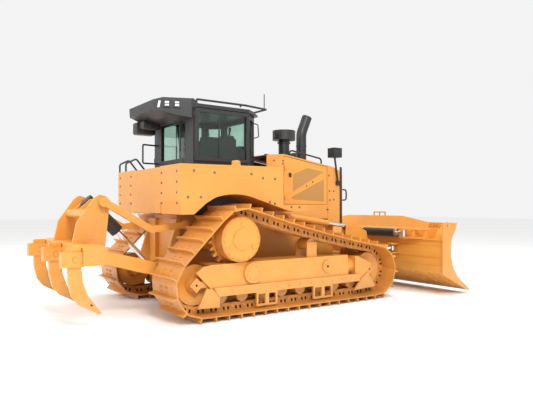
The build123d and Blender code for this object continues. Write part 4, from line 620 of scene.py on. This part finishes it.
LEVER = [(0, 0.020), (0.05, 0.014), (0.11, 0.024), (0.14, 0.022), (0.15, 0.012)]
inside = bmesh.new()
for low_y in (-0.440, 0.300):
    solid(inside, (-0.800, low_y, 2.650), (-0.600, low_y + 0.140, 2.720), 0.015)
for lever_y in (-0.370, 0.370):
    turned(inside, (-0.660, lever_y, 2.715), (0.1, 0, 1), LEVER, 20)
solid(inside, (-0.420, -0.110, 2.575), (-0.380, 0.110, 2.720), 0.012)
from_bmesh("cab_controls", "tractor", inside, plastic)

# ---- tank rails ----------------------------------------------------------------------------------------
for number, (low_y, high_y) in enumerate(((0.62, 0.90), (0.96, 1.20))):
    points = [(-1.70, low_y, 2.165), (-1.86, low_y, 2.36), (-1.935, high_y, 2.30), (-1.935, high_y, 1.98)]
    tube(f"tank_rail_{number}", "tractor", soft_corners(points, 0.08), 0.015, black)

# ---- filler neck ---------------------------------------------------------------------------------------
neck = bmesh.new()
NECK = [(0, 0.075), (0.030, 0.075), (0.036, 0.068), (0.082, 0.066), (0.094, 0.050)]
turned(neck, (-0.975, -1.100, 2.158), (0, 0, 1), NECK, 28)
cap = from_bmesh("filler_neck", "tractor", neck, yellow)
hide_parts("filler_cap")

# ---- front lamps ---------------------------------------------------------------------------------------
for name, side in SIDES:
    lens = bmesh.new()
    solid(lens, (1.559, side * 0.590 - 0.074, 2.485), (1.566, side * 0.590 + 0.074, 2.622), 0.004)
    from_bmesh(f"front_lens_{name}", "tractor", lens, lamp_white)

# ---- ripper --------------------------------------------------------------------------------------------
SHANK_HALF = 0.0375
TIP = [(-3.085, 0.392), (-2.954, 0.208), (-2.984, 0.194), (-3.078, 0.254), (-3.150, 0.291)]
TIP_PIN = [(-3.098, 0.318), (-3.072, 0.300), (-3.060, 0.318), (-3.086, 0.336)]
SHANK_PLUG = [(0, 0.018), (0.006, 0.018), (0.008, 0.014)]
SHANK_PLATE = [(-3.280, 0.640), (-3.205, 0.640), (-3.200, 0.745), (-3.276, 0.745)]
tips, dark_pins, plain_pins = bmesh.new(), bmesh.new(), bmesh.new()
for shank_y in (-1.0, 0.0, 1.0):
    for side in (-1, 1):
        face = shank_y + side * SHANK_HALF
        plate(tips, TIP, face, side * 0.004, 0.002)
        plate(dark_pins, TIP_PIN, face + side * 0.003, side * 0.004, 0.001)
        turned(plain_pins, (-3.200, face, 0.480), (0, side, 0), SHANK_PLUG, 20)
        plate(plain_pins, SHANK_PLATE, face, side * 0.003, 0.002)
from_bmesh("shank_tips", "ripper_frame", tips, yellow)
from_bmesh("shank_pins", "ripper_frame", dark_pins, black)
from_bmesh("shank_plates", "ripper_frame", plain_pins, yellow)

# ---- tilt cylinder ----------------------------------------------------------------------------
collar = bmesh.new()
COLLAR = [(0.0, 0.076), (0.006, 0.079), (0.040, 0.079), (0.046, 0.0785)]
turned(collar, (2.625, -1.058, 1.075), (0, 1, 0), COLLAR, 32)
from_bmesh("tilt_gland", "tilt_cylinder", collar, steel)

# ---- seat ------------------------------------------------------------------------------------------------
SEAT_VOXEL = 0.006
SEAT_SWELL = 0.014


def inflate(thing):
    """Swell a closed shape as a stuffed cover does, and keep every point within the cap."""
    scene = bpy.context.scene
    bpy.context.view_layer.objects.active = thing
    thing.data.remesh_voxel_size = SEAT_VOXEL
    bpy.ops.object.voxel_remesh()
    before = [v.co.copy() for v in thing.data.vertices]
    cover = thing.modifiers.new("cover", "CLOTH")
    cover.settings.use_pressure = True
    cover.settings.uniform_pressure_force = 4.0
    cover.settings.effector_weights.gravity = 0.0
    for number in range(1, 21):
        scene.frame_set(number)
    swollen = thing.evaluated_get(bpy.context.evaluated_depsgraph_get())
    after = [v.co.copy() for v in swollen.data.vertices]
    thing.modifiers.clear()
    for vertex, old, new in zip(thing.data.vertices, before, after):
        move = new - old
        if move.length > SEAT_SWELL:
            move *= SEAT_SWELL / move.length
        vertex.co = old + move
    scene.frame_set(1)
    smooth = thing.modifiers.new("smooth", "SMOOTH")
    smooth.factor = 0.5
    smooth.iterations = 6
    bpy.ops.object.modifier_apply(modifier="smooth")


BACK_PADS = (
    ((-0.050, -0.226, 0.010), (0.062, -0.110, 0.430)),
    ((-0.050, -0.130, 0.010), (0.044, 0.130, 0.436)),
    ((-0.050, 0.110, 0.010), (0.062, 0.226, 0.430)),
)
pads = bmesh.new()
solid(pads, (-1.145, -0.232, 2.528), (-0.705, -0.080, 2.612), 0.020)
solid(pads, (-1.145, -0.090, 2.524), (-0.705, 0.090, 2.600), 0.014)
solid(pads, (-1.145, 0.080, 2.528), (-0.705, 0.232, 2.612), 0.020)
lean = Matrix.Translation((-1.225, 0.0, 2.560)) @ Matrix.Rotation(math.radians(-9.0), 4, "Y")
for low, high in BACK_PADS:
    first = len(pads.verts)
    solid(pads, low, high, 0.020)
    pads.verts.ensure_lookup_table()
    bmesh.ops.transform(pads, matrix=lean, verts=pads.verts[first:])
seat = from_bmesh("seat_padding", "tractor", pads, cloth, 1.2)
inflate(seat)
for face in seat.data.polygons:
    face.use_smooth = True
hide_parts("seat_cushion")

for number, y in enumerate((-0.085, 0.085)):
    seam = [(-1.130, y, 2.607), (-0.900, y, 2.611), (-0.712, y, 2.606), (-0.696, y, 2.570)]
    tube(f"seat_piping_{number}", "tractor", seam, 0.0035, plastic)

# ---- stage ----------------------------------------------------------------------------------
floor_mesh = bpy.data.meshes.new("floor")
floor_mesh.from_pydata([(-60, -60, 0), (60, -60, 0), (60, 60, 0), (-60, 60, 0)], [], [(0, 1, 2, 3)])
floor = bpy.data.objects.new("floor", floor_mesh)
bpy.context.collection.objects.link(floor)
ground = bpy.data.materials.new("floor")
ground.use_nodes = True
ground.node_tree.nodes["Principled BSDF"].inputs["Base Color"].default_value = (0.93, 0.93, 0.925, 1)
ground.node_tree.nodes["Principled BSDF"].inputs["Roughness"].default_value = 0.9
floor_mesh.materials.append(ground)

world = bpy.data.worlds.new("studio")
bpy.context.scene.world = world
world.use_nodes = True
world.node_tree.nodes["Background"].inputs["Color"].default_value = (1.0, 1.0, 1.0, 1)
world.node_tree.nodes["Background"].inputs["Strength"].default_value = 0.9

MIDDLE = Vector((0.0, 0.0, 1.5))


def lamp(name, place, size, power):
    light = bpy.data.lights.new(name, "AREA")
    light.shape = "DISK"
    light.size = size
    light.energy = power
    thing = bpy.data.objects.new(name, light)
    thing.location = place
    thing.rotation_euler = (MIDDLE - Vector(place)).to_track_quat("-Z", "Y").to_euler()
    bpy.context.collection.objects.link(thing)


lamp("key", (-4.0, -10.0, 9.0), 4.0, 950)
lamp("top", (2.0, -1.0, 12.0), 6.0, 750)
lamp("rear", (-11.0, 2.0, 6.0), 5.0, 500)

bpy.context.scene.view_settings.view_transform = "Standard"

lens = bpy.data.cameras.new("camera")
lens.sensor_width = 36.0
lens.lens = 525.5 / 533.0 * 36.0
camera = bpy.data.objects.new("camera", lens)
camera.location = (-5.080, -7.775, 1.570)
heading = math.radians(55.083)
pitch = math.radians(0.704)
ahead = Vector((math.cos(heading) * math.cos(pitch), math.sin(heading) * math.cos(pitch), math.sin(pitch)))
camera.rotation_euler = ahead.to_track_quat("-Z", "Y").to_euler()
bpy.context.collection.objects.link(camera)
bpy.context.scene.camera = camera
